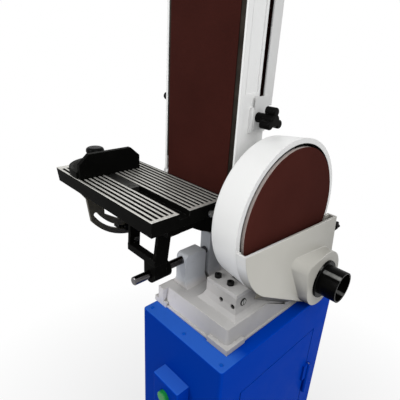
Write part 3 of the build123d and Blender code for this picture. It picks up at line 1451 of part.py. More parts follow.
lock_face = ear_left - free_gap
lock_washer_x = quadrant_right + free_gap
with BuildPart() as tilt_lock_knob:
    rod_x(lock_face, lock_washer_x, lock_y, lock_z, lock_stud_r)
    rod_x(lock_washer_x, lock_washer_x + lock_washer_t, lock_y, lock_z, 2 * lock_stud_r)
    star(facing_left(lock_face, lock_y, lock_z), lock_knob_r, lock_knob_arms, lock_knob_len)
keep(tilt_lock_knob, "tilt_lock_knob")

# Miter gauge: bar in the slot, swivelling head with its fence, clamp knob through the curved slot
miter_bar_z0 = table_top_z - slot_depth + slide_gap
miter_bar_z1 = miter_bar_z0 + miter_bar_h
miter_head_z = table_top_z + free_gap
miter_x = miter_face_x - miter_pivot_back
miter_bar_left = table_left + miter_bar_in
miter_bar_right = miter_bar_left + miter_bar_len
miter_knob_x = miter_x - miter_knob_back
miter_stop_x = miter_bar_right - miter_stop_in
miter_plate_z = miter_head_z + miter_plate_t
miter_plate_depth = miter_pivot_back - miter_face_t + past
fence_y0 = slot_y + miter_off - miter_half
fence_y1 = slot_y + miter_off + miter_half
fence_top = miter_head_z + miter_h
head_arc = CenterArc((0, 0), miter_knob_back, 180 - miter_swing - miter_arc_over,
                     2 * (miter_swing + miter_arc_over))

with BuildPart() as miter_bar:
    block(miter_bar_left, miter_bar_right, slot_y - miter_bar_w / 2, slot_y + miter_bar_w / 2, miter_bar_z0,
          miter_bar_z1)
    rod_z(miter_bar_z1 - bury, miter_plate_z, miter_x, slot_y, miter_pin_r)
    rod_z(miter_bar_z0 - past, miter_bar_z1 + past, miter_knob_x, slot_y, miter_stud_r + run_gap,
          Mode.SUBTRACT)
    rod_z(miter_bar_z1 - miter_stop_depth, miter_bar_z1 + past, miter_stop_x, slot_y,
          miter_stop_r + miter_stop_gap, Mode.SUBTRACT)
    rod_z(miter_bar_z1 - miter_stop_depth - bury, miter_bar_z1 - miter_stop_low, miter_stop_x, slot_y,
          miter_stop_r)
keep(miter_bar, "miter_bar")

with BuildPart() as miter_head:
    with BuildSketch(facing_up(miter_x, slot_y, miter_head_z)):
        Circle(miter_plate_r)
        with Locations((miter_plate_r, 0)):
            Rectangle(2 * miter_plate_r, 4 * miter_plate_r, mode=Mode.SUBTRACT)
        with Locations((miter_plate_depth / 2, 0)):
            Rectangle(miter_plate_depth, 2 * miter_plate_r)
        SlotArc(head_arc, 2 * miter_stud_r + miter_arc_gap, mode=Mode.SUBTRACT)
    extrude(amount=miter_plate_t)
    with BuildSketch(Plane.YZ.offset(miter_face_x - miter_face_t)):
        with BuildLine():
            Polyline((fence_y0, miter_head_z), (fence_y1, miter_head_z),
                     (fence_y1, fence_top - miter_corner[1]), (fence_y1 - miter_corner[0], fence_top),
                     (fence_y0 + miter_corner[0], fence_top), (fence_y0, fence_top - miter_corner[1]),
                     close=True)
        make_face()
    extrude(amount=miter_face_t)
    rod_z(miter_head_z - past, miter_plate_z + slide_gap, miter_x, slot_y, miter_pin_r + run_gap,
          Mode.SUBTRACT)
keep(miter_head, "miter_head")

miter_hub_z = miter_plate_z + slide_gap
miter_knob_z = miter_hub_z + miter_hub_len
with BuildPart() as miter_knob:
    rod_z(miter_bar_z0 + bury, miter_hub_z, miter_knob_x, slot_y, miter_stud_r)
    rod_z(miter_hub_z, miter_knob_z, miter_knob_x, slot_y, miter_hub_r)
    rod_z(miter_knob_z, miter_knob_z + miter_knob_len, miter_knob_x, slot_y, miter_knob_r)
    fillet(miter_knob.edges().filter_by(GeomType.CIRCLE).group_by(SortBy.RADIUS)[-1], radius=miter_knob_round)
keep(miter_knob, "miter_knob")

# Switch on the front of the stand
switch_face = -stand_half_d - switch_depth
button_z = (switch_z + button_pitch / 2, switch_z - button_pitch / 2)
button_front = switch_face - button_out
button_back = switch_face + button_pocket - button_travel - button_spare
with BuildPart() as switch_box:
    block(-switch_w / 2, switch_w / 2, switch_face, -stand_half_d, switch_z - switch_h / 2,
          switch_z + switch_h / 2)
    fillet(switch_box.faces().sort_by(Axis.Y)[0].edges(), radius=switch_round)
    for z in button_z:
        rod_y(switch_face - past, switch_face + button_pocket, 0, z, button_r + free_gap, Mode.SUBTRACT)
keep(switch_box, "switch_box")

with BuildPart() as start_button:
    rod_y(button_front, button_back, 0, button_z[0], button_r)
    fillet(start_button.faces().sort_by(Axis.Y)[0].edges(), radius=button_round)
keep(start_button, "start_button")

with BuildPart() as stop_button:
    rod_y(button_front, button_back, 0, button_z[1], button_r)
    rod_y(button_front - stop_head_t, button_front, 0, button_z[1], stop_head_r)
    fillet(stop_button.faces().sort_by(Axis.Y)[0].edges(), radius=stop_head_round)
keep(stop_button, "stop_button")
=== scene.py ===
import json
import math

import bpy
from mathutils import Euler, Matrix, Vector


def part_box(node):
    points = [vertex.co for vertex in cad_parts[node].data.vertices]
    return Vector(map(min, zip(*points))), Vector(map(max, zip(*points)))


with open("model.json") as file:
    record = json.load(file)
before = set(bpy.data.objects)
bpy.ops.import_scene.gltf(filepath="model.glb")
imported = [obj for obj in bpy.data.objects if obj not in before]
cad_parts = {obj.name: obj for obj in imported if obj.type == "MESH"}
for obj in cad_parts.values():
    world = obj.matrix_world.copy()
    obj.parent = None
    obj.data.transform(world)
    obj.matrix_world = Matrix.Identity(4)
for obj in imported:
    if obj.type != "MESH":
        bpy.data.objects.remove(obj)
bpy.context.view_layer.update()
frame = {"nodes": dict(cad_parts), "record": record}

# Directions in the part's frame: the disc faces +X and the stand's front faces -Y
UP = (0.0, 0.0, 1.0)
FORWARD = (0.0, -1.0, 0.0)
DISC_WARD = (1.0, 0.0, 0.0)

# Places that the looks need, taken from the frame, in metres
joint_at = {joint["name"]: joint.get("pos_m") for joint in frame["record"]["behaviour"]["joints"]}
DISC_HUB = joint_at["spindle_spin"]
MITER_PIVOT = joint_at["miter_swivel"]
stand_low, stand_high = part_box("stand_cabinet")
base_low, base_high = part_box("base_casting")
plug_low, plug_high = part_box("side_plug")
table_low, table_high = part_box("table_top")
shroud_low, shroud_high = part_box("disc_shroud")
guard_low, guard_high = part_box("lower_guard")
disc_low, disc_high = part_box("abrasive_disc")
belt_low, belt_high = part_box("sanding_belt")

# Extents of the painted zones, in metres
STAND_STRIP = 0.030  # painted sheen along the front of the stand's top
POST_FOOT = 0.040  # foot of the base's posts, above the stand's top
POST_REACH = 0.054  # room that the posts take, from the base's side away from the disc
POST_FADE = 0.010
GUARD_FOOT = 0.078  # top of the painted shade on the foot of the guard's flank, above the stand's top
GUARD_FADE = 0.006
SHROUD_BORE = 0.080  # the shroud's inner walls are further from the disc's axis than this
SHROUD_FADE = 0.010
RIB_DEPTH = 0.0010  # depth to which the table's ribs are ground bright
RIB_FADE = 0.0004
TICK_IN = 0.0535  # inner and outer radius of the miter scale
TICK_OUT = 0.0585
TICK_FADE = 0.0005
TICK_END = -0.008  # where the scale ends, along X from its pivot
TICK_END_FADE = 0.002
SEAM_CORE = 0.0004  # half widths of the belt's seam, dark and faded out
SEAM_EDGE = 0.0012
RUN_FADE = 0.004  # half the fade from the belt's front run to its back run
HOLE_REACH = 0.012  # walls within this distance give painted shade in the holes of a casting
SLOT_REACH = 0.004  # and in the slot of the plug

# Angles, slopes and shares of the painted marks
TICK_STEP = 5.0  # degrees from tick to tick
SEAM_SLOPE = 0.6
SEAM_SHARE = 0.7  # the seam's height, as a share of the belt's
HIGHLIGHT_LEAN = math.radians(32.0)  # the dust port's painted highlight, from straight up towards the front

# Colours, as linear values
WHITE = (0.84, 0.84, 0.83)
CREAM = (0.55, 0.535, 0.485)
CREAM_RIM_HIGHLIGHT = (0.86, 0.85, 0.81)
BROWN_SHADE = (0.07, 0.064, 0.046)
SHROUD_SHADE = (0.02, 0.019, 0.017)
PRIMER = (0.4, 0.39, 0.37)
BLUE = (0.0005, 0.038, 0.36)
LIT_BLUE = (0.03, 0.13, 0.55)
WORN_BLUE = (0.01, 0.10, 0.5)
RIVET_BLUE = (0.004, 0.08, 0.45)
GREY = (0.46, 0.45, 0.445)
PAINTED_LIGHT_GREY = (0.63, 0.61, 0.605)
COOL_GREY = (0.56, 0.59, 0.64)
DUST_AND_TOP_LIGHT = (0.80, 0.79, 0.76)
BARE_IRON = (0.66, 0.63, 0.58)
BLACK = (0.0026, 0.0026, 0.0023)
WORN_BLACK = (0.12, 0.12, 0.11)
CHIPPED_BLACK = (0.16, 0.16, 0.15)
PHENOLIC = (0.0022, 0.0022, 0.002)
HIGHLIGHT_GREY = (0.55, 0.55, 0.53)
RIB_DULL = (0.58, 0.57, 0.53)
RIB_BRIGHT = (0.78, 0.77, 0.73)
RIB_FAR_SHADE = (0.24, 0.235, 0.215)
TICK_WHITE = (0.5, 0.5, 0.48)
PLUG_DULL = (0.34, 0.34, 0.33)
PLUG_BRIGHT = (0.44, 0.44, 0.43)
PLUG_DARK_AND_SHADE = (0.02, 0.02, 0.02)
DISC_GRIT = (0.070, 0.0175, 0.0133)
BELT_GRIT = (0.040, 0.010, 0.0076)
BACKING = (0.45, 0.37, 0.34)
PLATE_PRIMER = (0.52, 0.46, 0.43)
MOTOR_GREY = (0.03, 0.034, 0.038)
WORN_MOTOR = (0.3, 0.3, 0.3)

# Studio: floor, light and camera, with places in metres
FLOOR_HALF = 30.0
FLOOR_DULL = (0.58, 0.58, 0.58)
FLOOR_PALE = (0.62, 0.62, 0.62)
SHADOW_WHITE = 0.75  # share of plain white in the floor next to the machine
SHADOW_NEAR = 0.35  # from here to the next distance it grows to all white
SHADOW_FAR = 0.90
PLAIN_WHITE = (1.0, 1.0, 1.0)
SKY_COLOUR = (0.97, 0.985, 1.0)
SKY_STRENGTH = 0.42
LAMP_TARGET = (0.0, 0.0, 0.75)
KEY_AT = (-0.5, -2.2, 2.0)
KEY_SIZE = 1.4
KEY_WATTS = 33.0
FILL_AT = (1.7, -0.4, 2.3)
FILL_SIZE = 2.4
FILL_WATTS = 35.0
CAMERA_AT = (0.339944, -0.470129, 1.019344)
CAMERA_TURN = (67.0257, -2.9291, 46.4728)  # degrees about X, Y and Z
LENS_MM = 33.074
SENSOR_MM = 36.0

# Stretch of a noise that most of its values lie in
NOISE_LOW = 0.3
NOISE_HIGH = 0.7

# Cosines between which a face comes to count as looking a given way
LOOK_START = 0.6
LOOK_END = 0.95

# Cosines between which a rounded edge runs out into its flat face
EDGE_SHARP = 0.90
EDGE_FLAT = 0.995

# Open share of the view from a point, in a hole and out of it
HOLE_SHUT = 0.25
HOLE_OPEN = 0.6

# Sockets of the Mix node that carry colours
MIX_A = 6
MIX_B = 7
MIX_RESULT = 2


# A colour made darker or lighter
def shade(colour, factor):
    return tuple(min(1.0, channel * factor) for channel in colour)


# A coordinate part of the way from one end to the other
def part_way(low, high, share):
    return low + share * (high - low)


# A node tree with helpers that add nodes to it
class Nodes:
    def __init__(self, tree):
        self.tree = tree

    def add(self, kind, inputs=(), **settings):
        node = self.tree.nodes.new(kind)
        for key, value in settings.items():
            setattr(node, key, value)
        for key, value in dict(inputs).items():
            self.feed(node.inputs[key], value)
        return node

    def feed(self, socket, value):
        if isinstance(value, bpy.types.NodeSocket):
            self.tree.links.new(value, socket)
        elif socket.type == "RGBA":
            socket.default_value = (*value, 1.0)
        else:
            socket.default_value = value

    def maths(self, operation, *values):
        return self.add("ShaderNodeMath", dict(enumerate(values)), operation=operation).outputs[0]

    def times(self, first, *others):
        for other in others:
            first = self.maths("MULTIPLY", first, other)
        return first

    # 1 for rays that look at the scene, straight or by a reflection, and 0 for rays that light it
    def seen(self):
        path = self.add("ShaderNodeLightPath").outputs
        mirrored = self.maths("MAXIMUM", path["Is Camera Ray"], path["Is Glossy Ray"])
        return self.maths("MAXIMUM", mirrored, path["Is Transmission Ray"])

    # The second shader shows where the share is 1
    def blend(self, share, first, second, output):
        mixed = self.add("ShaderNodeMixShader", {0: share, 1: first.outputs[0], 2: second.outputs[0]})
        self.feed(self.tree.nodes[output].inputs["Surface"], mixed.outputs[0])


# A material whose colour, roughness and grain are worked out by nodes
class Surface(Nodes):
    def __init__(self, name, edge=None):
        self.material = bpy.data.materials.new(name)
        self.material.use_nodes = True
        super().__init__(self.material.node_tree)
        self.shader = self.tree.nodes["Principled BSDF"]
        place = self.add("ShaderNodeTexCoord")
        self.where = place.outputs["Object"]
        self.normal = place.outputs["Normal"]
        self.rounded = None
        if edge:
            self.rounded = self.add("ShaderNodeBevel", {"Radius": edge}, samples=6).outputs["Normal"]

    def noise(self, scale, detail=3.0, rough=0.55, stretch=None):
        place = self.where
        if stretch:
            place = self.add("ShaderNodeMapping", {"Vector": place, "Scale": stretch}).outputs["Vector"]
        values = {"Vector": place, "Scale": scale, "Detail": detail, "Roughness": rough}
        return self.add("ShaderNodeTexNoise", values).outputs["Fac"]

    def ramp(self, value, low, high):
        node = self.add("ShaderNodeValToRGB", {"Fac": value})
        for element, at, colour in zip(node.color_ramp.elements, (NOISE_LOW, NOISE_HIGH), (low, high)):
            element.position = at
            element.color = (*colour, 1.0)
        return node.outputs["Color"]

    def spread(self, value, low, high, start=NOISE_LOW, end=NOISE_HIGH):
        span = {"Value": value, "From Min": start, "From Max": end, "To Min": low, "To Max": high}
        return self.add("ShaderNodeMapRange", span).outputs["Result"]

    # Grows from 0 at the start to the most at the end
    def rise(self, value, start, end, most=1.0):
        return self.spread(value, 0.0, most, start, end)

    # Shrinks from the most at the start to 0 at the end
    def fall(self, value, start, end, most=1.0):
        return self.spread(value, most, 0.0, start, end)

    def mix(self, factor, first, second):
        sockets = {"Factor": factor, MIX_A: first, MIX_B: second}
        return self.add("ShaderNodeMix", sockets, data_type="RGBA").outputs[MIX_RESULT]

    def vectors(self, operation, first, second, result):
        node = self.add("ShaderNodeVectorMath", {0: first, 1: second}, operation=operation)
        return node.outputs[result]

    def axis(self, letter):
        return self.add("ShaderNodeSeparateXYZ", {0: self.where}).outputs[letter]

    # Distance from the middle, for offsets along two axes
    def reach(self, first, second):
        squares = (self.times(first, first), self.times(second, second))
        return self.maths("SQRT", self.maths("ADD", *squares))

    # Cosine of the angle between a face and a direction
    def facing(self, direction, normal=None):
        return self.vectors("DOT_PRODUCT", self.normal if normal is None else normal, direction, "Value")

    # Faces that look a given way
    def toward(self, direction, most=1.0):
        return self.rise(self.facing(direction), LOOK_START, LOOK_END, most)

    # Painted shade in holes, slots and tight corners
    def recess(self, distance):
        node = self.add("ShaderNodeAmbientOcclusion", {"Distance": distance}, samples=8, only_local=True)
        return self.fall(node.outputs["AO"], HOLE_SHUT, HOLE_OPEN)

    def edges(self):
        flat = self.add("ShaderNodeNewGeometry").outputs["Normal"]
        return self.fall(self.facing(flat, self.rounded), EDGE_SHARP, EDGE_FLAT)

    # Broken flakes along the edges
    def chips(self, scale, start, end, most):
        flakes = self.rise(self.noise(scale, detail=5.0, rough=0.7), start, end)
        return self.times(self.edges(), flakes, most)

    # The sheen's noise varies the roughness within its range, and the relief's noise gives the grain
    def finish(self, colour, sheen, rough, relief, grain, depth, shine=0.5, metal=0.0):
        bump = {"Height": relief, "Strength": grain, "Distance": depth}
        if self.rounded is not None:
            bump["Normal"] = self.rounded
        sockets = {
            "Base Color": colour,
            "Roughness": self.spread(sheen, *rough),
            "Normal": self.add("ShaderNodeBump", bump).outputs["Normal"],
            "Specular IOR Level": shine,
            "Metallic": metal,
        }
        for key, value in sockets.items():
            self.feed(self.shader.inputs[key], value)
        return self.material


# Enamel in two soft tones, chipped along the edges where it is worn
def paint(name, colour, tones, rough, edge, grain, worn=None, wear=0.0, shine=0.3, marks=None):
    t = Surface(name, edge)
    base = t.ramp(t.noise(7.0, detail=4.0), *(shade(colour, tone) for tone in tones))
    if worn:
        base = t.mix(t.chips(160.0, 0.52, 0.62, most=wear), base, worn)
    if marks:
        base = marks(t, base)
    sheen = t.noise(30.0, detail=5.0)
    relief = t.noise(900.0, detail=2.0)
    return t.finish(base, sheen, rough, relief, grain, depth=0.0004, shine=shine)


# The stand's top has a painted sheen along the front, its front painted shade and its disc side painted
# light
def stand_painted_light(t, base):
    strip = t.fall(t.axis("Y"), stand_low.y + STAND_STRIP, stand_low.y + 2 * STAND_STRIP)
    # Painted sheen on the level top, along the front
    base = t.mix(t.times(t.toward(UP, most=0.75), strip), base, LIT_BLUE)
    # Painted shade on the front faces
    base = t.mix(t.toward(FORWARD), base, shade(BLUE, 0.82))
    # Painted light on the faces towards the disc
    return t.mix(t.toward(DISC_WARD), base, shade(BLUE, 1.18))


# The shroud has painted shade, greyer towards its foot and dark inside under its roof
def shroud_painted_shade(t, base):
    foot_start = part_way(shroud_low.z, shroud_high.z, 0.15)
    foot_end = part_way(shroud_low.z, shroud_high.z, 0.55)
    # Painted shade towards the foot
    base = t.mix(t.fall(t.axis("Z"), foot_start, foot_end), base, shade(WHITE, 0.76))
    spoke = t.vectors("SUBTRACT", t.where, DISC_HUB, "Vector")
    outward = t.vectors("DOT_PRODUCT", spoke, t.normal, "Value")
    inside = t.fall(outward, -SHROUD_BORE - SHROUD_FADE, -SHROUD_BORE)
    under = t.fall(t.facing(UP), -0.5, 0.1)
    # Painted shade on the inner walls under the roof
    return t.mix(t.times(inside, under), base, SHROUD_SHADE)


# The guard has painted shade towards the back, white on its front flank, painted shade in brown below and
# a painted highlight on its rim
def guard_tones_and_painted_light(t, base):
    back = t.rise(t.axis("Y"), part_way(guard_low.y, guard_high.y, 0.35), guard_high.y)
    # Painted shade towards the back
    base = t.mix(back, base, shade(CREAM, 0.62))
    front_end = part_way(guard_low.y, guard_high.y, 0.3)
    front_gone = part_way(guard_low.y, guard_high.y, 0.4)
    flank = t.times(t.fall(t.facing(DISC_WARD), 0.2, 0.5), t.fall(t.axis("Y"), front_end, front_gone))
    base = t.mix(flank, base, shade(WHITE, 0.76))
    foot_z = stand_high.z + GUARD_FOOT
    foot = t.times(flank, t.fall(t.axis("Z"), foot_z, foot_z + GUARD_FADE))
    below = t.maths("MAXIMUM", t.fall(t.facing(UP), -0.7, -0.3), foot)
    # Painted shade on faces that look down and on the flank's foot
    base = t.mix(below, base, BROWN_SHADE)
    rim = t.times(t.rise(t.facing(UP, t.rounded), 0.25, 0.7, most=0.8), t.edges())
    # Painted highlight along the upper rounded edges
    return t.mix(rim, base, CREAM_RIM_HIGHLIGHT)


# Painted sand casting with dust and painted light on its level faces, painted shade in its holes, grime
# and chipped edges
def casting(name, colour, shine=0.25, marks=None):
    t = Surface(name, edge=0.0022)
    base = t.ramp(t.noise(9.0, detail=5.0), shade(colour, 0.93), shade(colour, 1.05))
    if marks:
        base = marks(t, base)
    # Dust and painted light on the level faces
    base = t.mix(t.toward(UP, most=0.22), base, DUST_AND_TOP_LIGHT)
    # Painted shade in holes and tight corners
    base = t.mix(t.recess(HOLE_REACH), base, shade(colour, 0.05))
    grime = t.rise(t.noise(26.0, detail=6.0, rough=0.7), 0.52, 0.8, most=0.35)
    base = t.mix(grime, base, shade(colour, 0.72))
    base = t.mix(t.chips(140.0, 0.5, 0.6, most=0.55), base, BARE_IRON)
    sheen = t.noise(45.0, detail=5.0)
    relief = t.maths("ADD", t.noise(260.0), t.noise(45.0))
    return t.finish(base, sheen, (0.4, 0.6), relief, grain=0.25, depth=0.0008, shine=shine)


# The base has painted light away from the disc, less on its level faces, and its posts are a cooler grey
def base_tones_and_light(t, base):
    pale_end = part_way(base_low.x, base_high.x, 0.25)
    pale_gone = part_way(base_low.x, base_high.x, 0.75)
    level = t.spread(t.facing(UP), 1.0, 0.45, LOOK_START, LOOK_END)
    pale = t.times(t.fall(t.axis("X"), pale_end, pale_gone), level)
    # Painted light, paler away from the disc
    base = t.mix(pale, base, PAINTED_LIGHT_GREY)
    post_z = stand_high.z + POST_FOOT
    post_x = base_low.x + POST_REACH
    raised = t.rise(t.axis("Z"), post_z, post_z + POST_FADE, most=0.8)
    posts = t.times(raised, t.fall(t.axis("X"), post_x, post_x + POST_FADE))
    return t.mix(posts, base, COOL_GREY)


# Metal with fine scratches, drawn out where a stretch is given
def metal(name, colour, rough=(0.22, 0.4), stretch=None, scratch=0.12, dark=0.75):
    t = Surface(name, edge=0.0006)
    brushed = t.noise(60.0, detail=6.0, rough=0.7, stretch=stretch)
    base = t.ramp(t.noise(40.0, detail=5.0), shade(colour, dark), colour)
    return t.finish(base, brushed, rough, brushed, grain=scratch, depth=0.0002, metal=1.0)


# Moulded plastic
def plastic(name, colour, rough=(0.18, 0.3), grain=0.03, shine=0.2, marks=None):
    t = Surface(name, edge=0.001)
    base = t.ramp(t.noise(25.0), shade(colour, 0.8), shade(colour, 1.15))
    if marks:
        base = marks(t, base)
    sheen = t.noise(60.0, detail=4.0)
    relief = t.noise(1200.0, detail=2.0)
    return t.finish(base, sheen, rough, relief, grain, depth=0.0003, shine=shine)


# A painted highlight streak along the top of the dust port, on the side of the stand's front
def port_painted_highlight(t, base):
    direction = (0.0, -math.sin(HIGHLIGHT_LEAN), math.cos(HIGHLIGHT_LEAN))
    highlight = t.rise(t.facing(direction), 0.988, 0.998, most=0.45)
    broken = t.spread(t.noise(90.0, detail=4.0), 0.3, 1.0)
    # Painted highlight, broken up by noise
    return t.mix(t.times(highlight, broken), base, HIGHLIGHT_GREY)


# Abrasive cloth: clouded, with a dark weave and bright grains
def abrasive(name, colour, marks):
    t = Surface(name)
    grit = t.noise(2600.0, detail=2.0, rough=0.7)
    weave = t.noise(420.0, rough=0.7)
    base = t.ramp(t.noise(9.0, detail=4.0), shade(colour, 0.84), shade(colour, 1.14))
    base = t.mix(t.rise(weave, 0.42, 0.68, most=0.35), base, shade(colour, 0.55))
    base = t.mix(t.rise(grit, 0.58, 0.72, most=0.5), base, shade(colour, 2.6))
    return t.finish(marks(t, base), grit, (0.7, 0.95), grit, grain=0.5, depth=0.0006, shine=0.03)


# The slanting seam where the belt is joined, on its front run
def belt_seam(t, base):
    slant = t.maths("ADD", t.axis("Z"), t.times(t.axis("X"), SEAM_SLOPE))
    seam_z = part_way(belt_low.z, belt_high.z, SEAM_SHARE)
    seam_at = seam_z + SEAM_SLOPE * part_way(belt_low.x, belt_high.x, 0.5)
    off = t.maths("ABSOLUTE", t.maths("SUBTRACT", slant, seam_at))
    front = t.fall(t.axis("Y"), -RUN_FADE, RUN_FADE)
    seam = t.times(t.fall(off, SEAM_CORE, SEAM_EDGE, most=0.75), front)
    return t.mix(seam, base, shade(BELT_GRIT, 0.3))


# The disc has painted shade towards the back, and its edge shows the pale backing
def disc_shade_and_backing(t, base):
    back = t.rise(t.axis("Y"), disc_low.y, disc_high.y, most=0.5)
    # Painted shade towards the back
    base = t.mix(back, base, shade(DISC_GRIT, 0.35))
    flat = t.maths("ABSOLUTE", t.facing(DISC_WARD))
    return t.mix(t.fall(flat, 0.3, 0.7), base, BACKING)


# Black paint on the table and the miter head
def black_iron(t):
    return t.ramp(t.noise(20.0, detail=4.0), shade(BLACK, 0.8), shade(BLACK, 1.4))


# Table: black iron with ribs ground bright on top, with painted shade making them duller towards the back
def table_finish():
    t = Surface("table_casting", edge=0.0008)
    rib_z = table_high.z - RIB_DEPTH
    ground = t.rise(t.axis("Z"), rib_z, rib_z + RIB_FADE)
    swirl = t.noise(35.0, detail=6.0, rough=0.7, stretch=(0.25, 6.0, 1.0))
    bright = t.ramp(swirl, RIB_DULL, RIB_BRIGHT)
    back = t.rise(t.axis("Y"), part_way(table_low.y, table_high.y, 0.35), table_high.y, most=0.6)
    # Painted shade on the ribs towards the back
    bright = t.mix(back, bright, RIB_FAR_SHADE)
    dark = t.mix(t.chips(150.0, 0.5, 0.62, most=0.4), black_iron(t), CHIPPED_BLACK)
    base = t.mix(ground, dark, bright)
    bare = t.times(ground, 0.7)
    relief = t.noise(700.0)
    return t.finish(base, swirl, (0.38, 0.55), relief, grain=0.08, depth=0.0004, shine=0.012, metal=bare)


# Miter head: black iron with painted light on its level faces and a faint scale of ticks around its pivot
def protractor_finish():
    t = Surface("miter_casting", edge=0.0012)
    across = t.maths("SUBTRACT", t.axis("X"), MITER_PIVOT[0])
    along = t.maths("SUBTRACT", t.axis("Y"), MITER_PIVOT[1])
    turn = t.times(t.maths("ARCTAN2", along, across), math.degrees(1.0), 1.0 / TICK_STEP)
    off = t.maths("ABSOLUTE", t.maths("SUBTRACT", t.maths("FRACT", turn), 0.5))
    reach = t.reach(across, along)
    band = t.times(
        t.rise(reach, TICK_IN, TICK_IN + TICK_FADE),
        t.fall(reach, TICK_OUT, TICK_OUT + TICK_FADE),
        t.fall(across, TICK_END, TICK_END + TICK_END_FADE),
    )
    level = t.rise(t.facing(UP), 0.8, 0.95)
    ticks = t.times(t.rise(off, 0.44, 0.47), band, level)
    # Painted light on the level faces
    base = t.mix(t.times(level, 0.5), black_iron(t), shade(BLACK, 7.0))
    base = t.mix(t.times(ticks, 0.5), base, TICK_WHITE)
    sheen = t.noise(60.0, detail=4.0)
    relief = t.noise(600.0)
    return t.finish(base, sheen, (0.4, 0.55), relief, grain=0.14, depth=0.0004, shine=0.012)


# Side plug: grey steel with a dark rim and painted shade in its slot
def plug_finish():
    t = Surface("plug_steel", edge=0.0005)
    middle = (plug_low + plug_high) / 2
    radius = plug_high.z - middle.z
    across = t.maths("SUBTRACT", t.axis("Y"), middle.y)
    above = t.maths("SUBTRACT", t.axis("Z"), middle.z)
    rim = t.rise(t.reach(across, above), 0.72 * radius, 0.80 * radius)
    base = t.ramp(t.noise(60.0, detail=4.0), PLUG_DULL, PLUG_BRIGHT)
    # Dark rim, and painted shade in the slot
    base = t.mix(t.maths("MAXIMUM", rim, t.recess(SLOT_REACH)), base, PLUG_DARK_AND_SHADE)
    sheen = t.noise(80.0, detail=4.0)
    return t.finish(base, sheen, (0.4, 0.6), t.noise(400.0), grain=0.1, depth=0.0003, shine=0.1)


# Matt rubber
def rubber(name, colour):
    t = Surface(name)
    base = t.ramp(t.noise(30.0), shade(colour, 0.7), shade(colour, 1.4))
    sheen = t.noise(80.0, detail=4.0)
    return t.finish(base, sheen, (0.6, 0.8), t.noise(1500.0), grain=0.1, depth=0.0003, shine=0.2)


# Settings that two materials share
white_enamel = dict(tones=(0.97, 1.018), rough=(0.3, 0.42), edge=0.0015, grain=0.04, worn=PRIMER, wear=0.2)
gloss_black = dict(rough=(0.2, 0.3), shine=0.035)

# Materials by the record's slots
looks = {
    "white_paint": paint("white_enamel", WHITE, **white_enamel),
    "guard_paint": paint(
        "guard_enamel", CREAM, tones=(0.97, 1.03), rough=(0.32, 0.45), edge=0.002, grain=0.05,
        marks=guard_tones_and_painted_light,
    ),
    "grey_paint": casting("grey_casting", GREY),
    "blue_paint": paint(
        "blue_enamel", BLUE, tones=(0.92, 1.048), rough=(0.34, 0.46), edge=0.0015, grain=0.06,
        worn=WORN_BLUE, wear=0.4, shine=0.004, marks=stand_painted_light,
    ),
    "black_paint": paint(
        "black_casting", BLACK, tones=(0.8, 1.12), rough=(0.4, 0.55), edge=0.0012, grain=0.2,
        worn=WORN_BLACK, wear=0.4, shine=0.012,
    ),
    "motor_paint": paint(
        "motor_enamel", MOTOR_GREY, tones=(0.9, 1.06), rough=(0.35, 0.5), edge=0.001, grain=0.12,
        worn=WORN_MOTOR, wear=0.4, shine=0.2,
    ),
    "bright_steel": metal("bright_steel", (0.62, 0.61, 0.58)),
    "black_steel": metal("black_oxide", (0.03, 0.03, 0.03), rough=(0.3, 0.5)),
    "alloy": metal("turned_alloy", (0.72, 0.68, 0.60), rough=(0.3, 0.45)),
    "bar_steel": metal("ground_bar", (0.10, 0.10, 0.095), rough=(0.35, 0.5), stretch=(0.2, 8.0, 8.0)),
    "quadrant_steel": metal("mill_plate", (0.10, 0.092, 0.07), rough=(0.4, 0.6), stretch=(1.0, 3.0, 0.4)),
    "platen_iron": metal("platen_iron", (0.034, 0.029, 0.024), rough=(0.45, 0.7), dark=0.5),
    "abrasive": abrasive("abrasive_disc_cloth", DISC_GRIT, marks=disc_shade_and_backing),
    "gloss_black": plastic("black_phenolic", PHENOLIC, **gloss_black),
    "black_plastic": plastic("black_nylon", (0.010, 0.010, 0.010), rough=(0.4, 0.55), grain=0.08),
    "belt_rubber": rubber("drive_rubber", (0.012, 0.012, 0.012)),
    "start_green": plastic("start_green", (0.01, 0.22, 0.04)),
    "stop_red": plastic("stop_red", (0.42, 0.008, 0.008)),
}

# Nodes that differ from their slot's material
own_look = {
    "table_top": table_finish(),
    "miter_head": protractor_finish(),
    "side_plug": plug_finish(),
    "sanding_belt": abrasive("abrasive_belt_cloth", BELT_GRIT, marks=belt_seam),
    "base_casting": casting("plinth_casting", shade(GREY, 0.78), shine=0.2, marks=base_tones_and_light),
    "rear_cover": paint("cover_enamel", shade(WHITE, 0.78), **white_enamel),
    "disc_shroud": paint(
        "shroud_enamel", WHITE, tones=(0.90, 0.94), rough=(0.3, 0.42), edge=0.0015, grain=0.04,
        marks=shroud_painted_shade,
    ),
    "disc_plate": paint(
        "plate_primer", PLATE_PRIMER, tones=(0.94, 1.036), rough=(0.4, 0.5), edge=0.0006, grain=0.05,
        shine=0.1,
    ),
    "stand_rivets": paint(
        "rivet_enamel", RIVET_BLUE, tones=(0.92, 1.048), rough=(0.34, 0.46), edge=0.0006, grain=0.06,
        shine=0.02,
    ),
    # Dark base colour as a painted reflection of dark surroundings
    "table_bar": metal(
        "chrome_bar", (0.11, 0.105, 0.11), rough=(0.08, 0.18), stretch=(8.0, 0.2, 8.0), scratch=0.04,
    ),
    "leg_bolt": metal("blued_bolt", (0.05, 0.05, 0.05), rough=(0.3, 0.5)),
    "pivot_bolts": metal("zinc_bolt", (0.36, 0.36, 0.35), rough=(0.3, 0.5)),
    "dust_port": plastic("port_phenolic", PHENOLIC, **gloss_black, marks=port_painted_highlight),
}
slot_of = {row["node"]: row["material_slot"] for row in frame["record"]["subparts"]}
for name, obj in frame["nodes"].items():
    obj.data.materials.clear()
    obj.data.materials.append(own_look.get(name) or looks[slot_of[name]])


# An object in the scene that shows the given data
def new_object(name, data):
    obj = bpy.data.objects.new(name, data)
    bpy.context.scene.collection.objects.link(obj)
    return obj


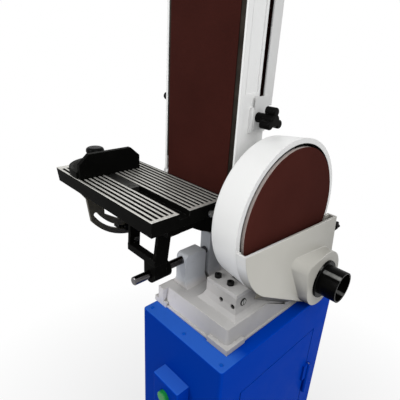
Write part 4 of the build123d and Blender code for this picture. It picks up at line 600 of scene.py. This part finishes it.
# Floor: white to the camera, but less so near the machine, where its shadow shows
def make_floor():
    mesh = bpy.data.meshes.new("floor")
    corners = [(x * FLOOR_HALF, y * FLOOR_HALF, 0.0) for x, y in ((-1, -1), (1, -1), (1, 1), (-1, 1))]
    mesh.from_pydata(corners, [], [(0, 1, 2, 3)])
    pale = Surface("pale_floor")
    pale.feed(pale.shader.inputs["Base Color"], pale.ramp(pale.noise(3.0), FLOOR_DULL, FLOOR_PALE))
    pale.feed(pale.shader.inputs["Roughness"], 0.9)
    pale.feed(pale.shader.inputs["Specular IOR Level"], 0.0)
    away = pale.add("ShaderNodeVectorMath", {0: pale.where}, operation="LENGTH").outputs["Value"]
    share = pale.times(pale.spread(away, SHADOW_WHITE, 1.0, SHADOW_NEAR, SHADOW_FAR), pale.seen())
    pale.blend(share, pale.shader, pale.add("ShaderNodeEmission"), "Material Output")
    mesh.materials.append(pale.material)
    return new_object("floor", mesh)


# World: soft light on the machine, and plain white behind it
def make_world():
    world = bpy.data.worlds.new("studio")
    bpy.context.scene.world = world
    world.use_nodes = True
    sky = Nodes(world.node_tree)
    soft = sky.tree.nodes["Background"]
    sky.feed(soft.inputs["Color"], SKY_COLOUR)
    sky.feed(soft.inputs["Strength"], SKY_STRENGTH)
    white = sky.add("ShaderNodeBackground", {"Color": PLAIN_WHITE})
    sky.blend(sky.seen(), soft, white, "World Output")


# A round area lamp that shines at the machine
def lamp(name, place, size, power):
    data = bpy.data.lights.new(name, "AREA")
    data.shape = "DISK"
    data.size = size
    data.energy = power
    obj = new_object(name, data)
    obj.location = place
    aim = Vector(LAMP_TARGET) - Vector(place)
    obj.rotation_euler = aim.to_track_quat("-Z", "Y").to_euler()


# Camera at the photograph's viewing angle
def make_camera():
    data = bpy.data.cameras.new("photo_camera")
    data.sensor_width = SENSOR_MM
    data.lens = LENS_MM
    camera = new_object("photo_camera", data)
    turn = Euler([math.radians(angle) for angle in CAMERA_TURN])
    camera.matrix_world = Matrix.LocRotScale(Vector(CAMERA_AT), turn, None)
    bpy.context.scene.camera = camera


floor = make_floor()
make_world()
lamp("key", KEY_AT, KEY_SIZE, KEY_WATTS)
lamp("fill", FILL_AT, FILL_SIZE, FILL_WATTS)
make_camera()
bpy.context.scene.view_settings.view_transform = "Standard"
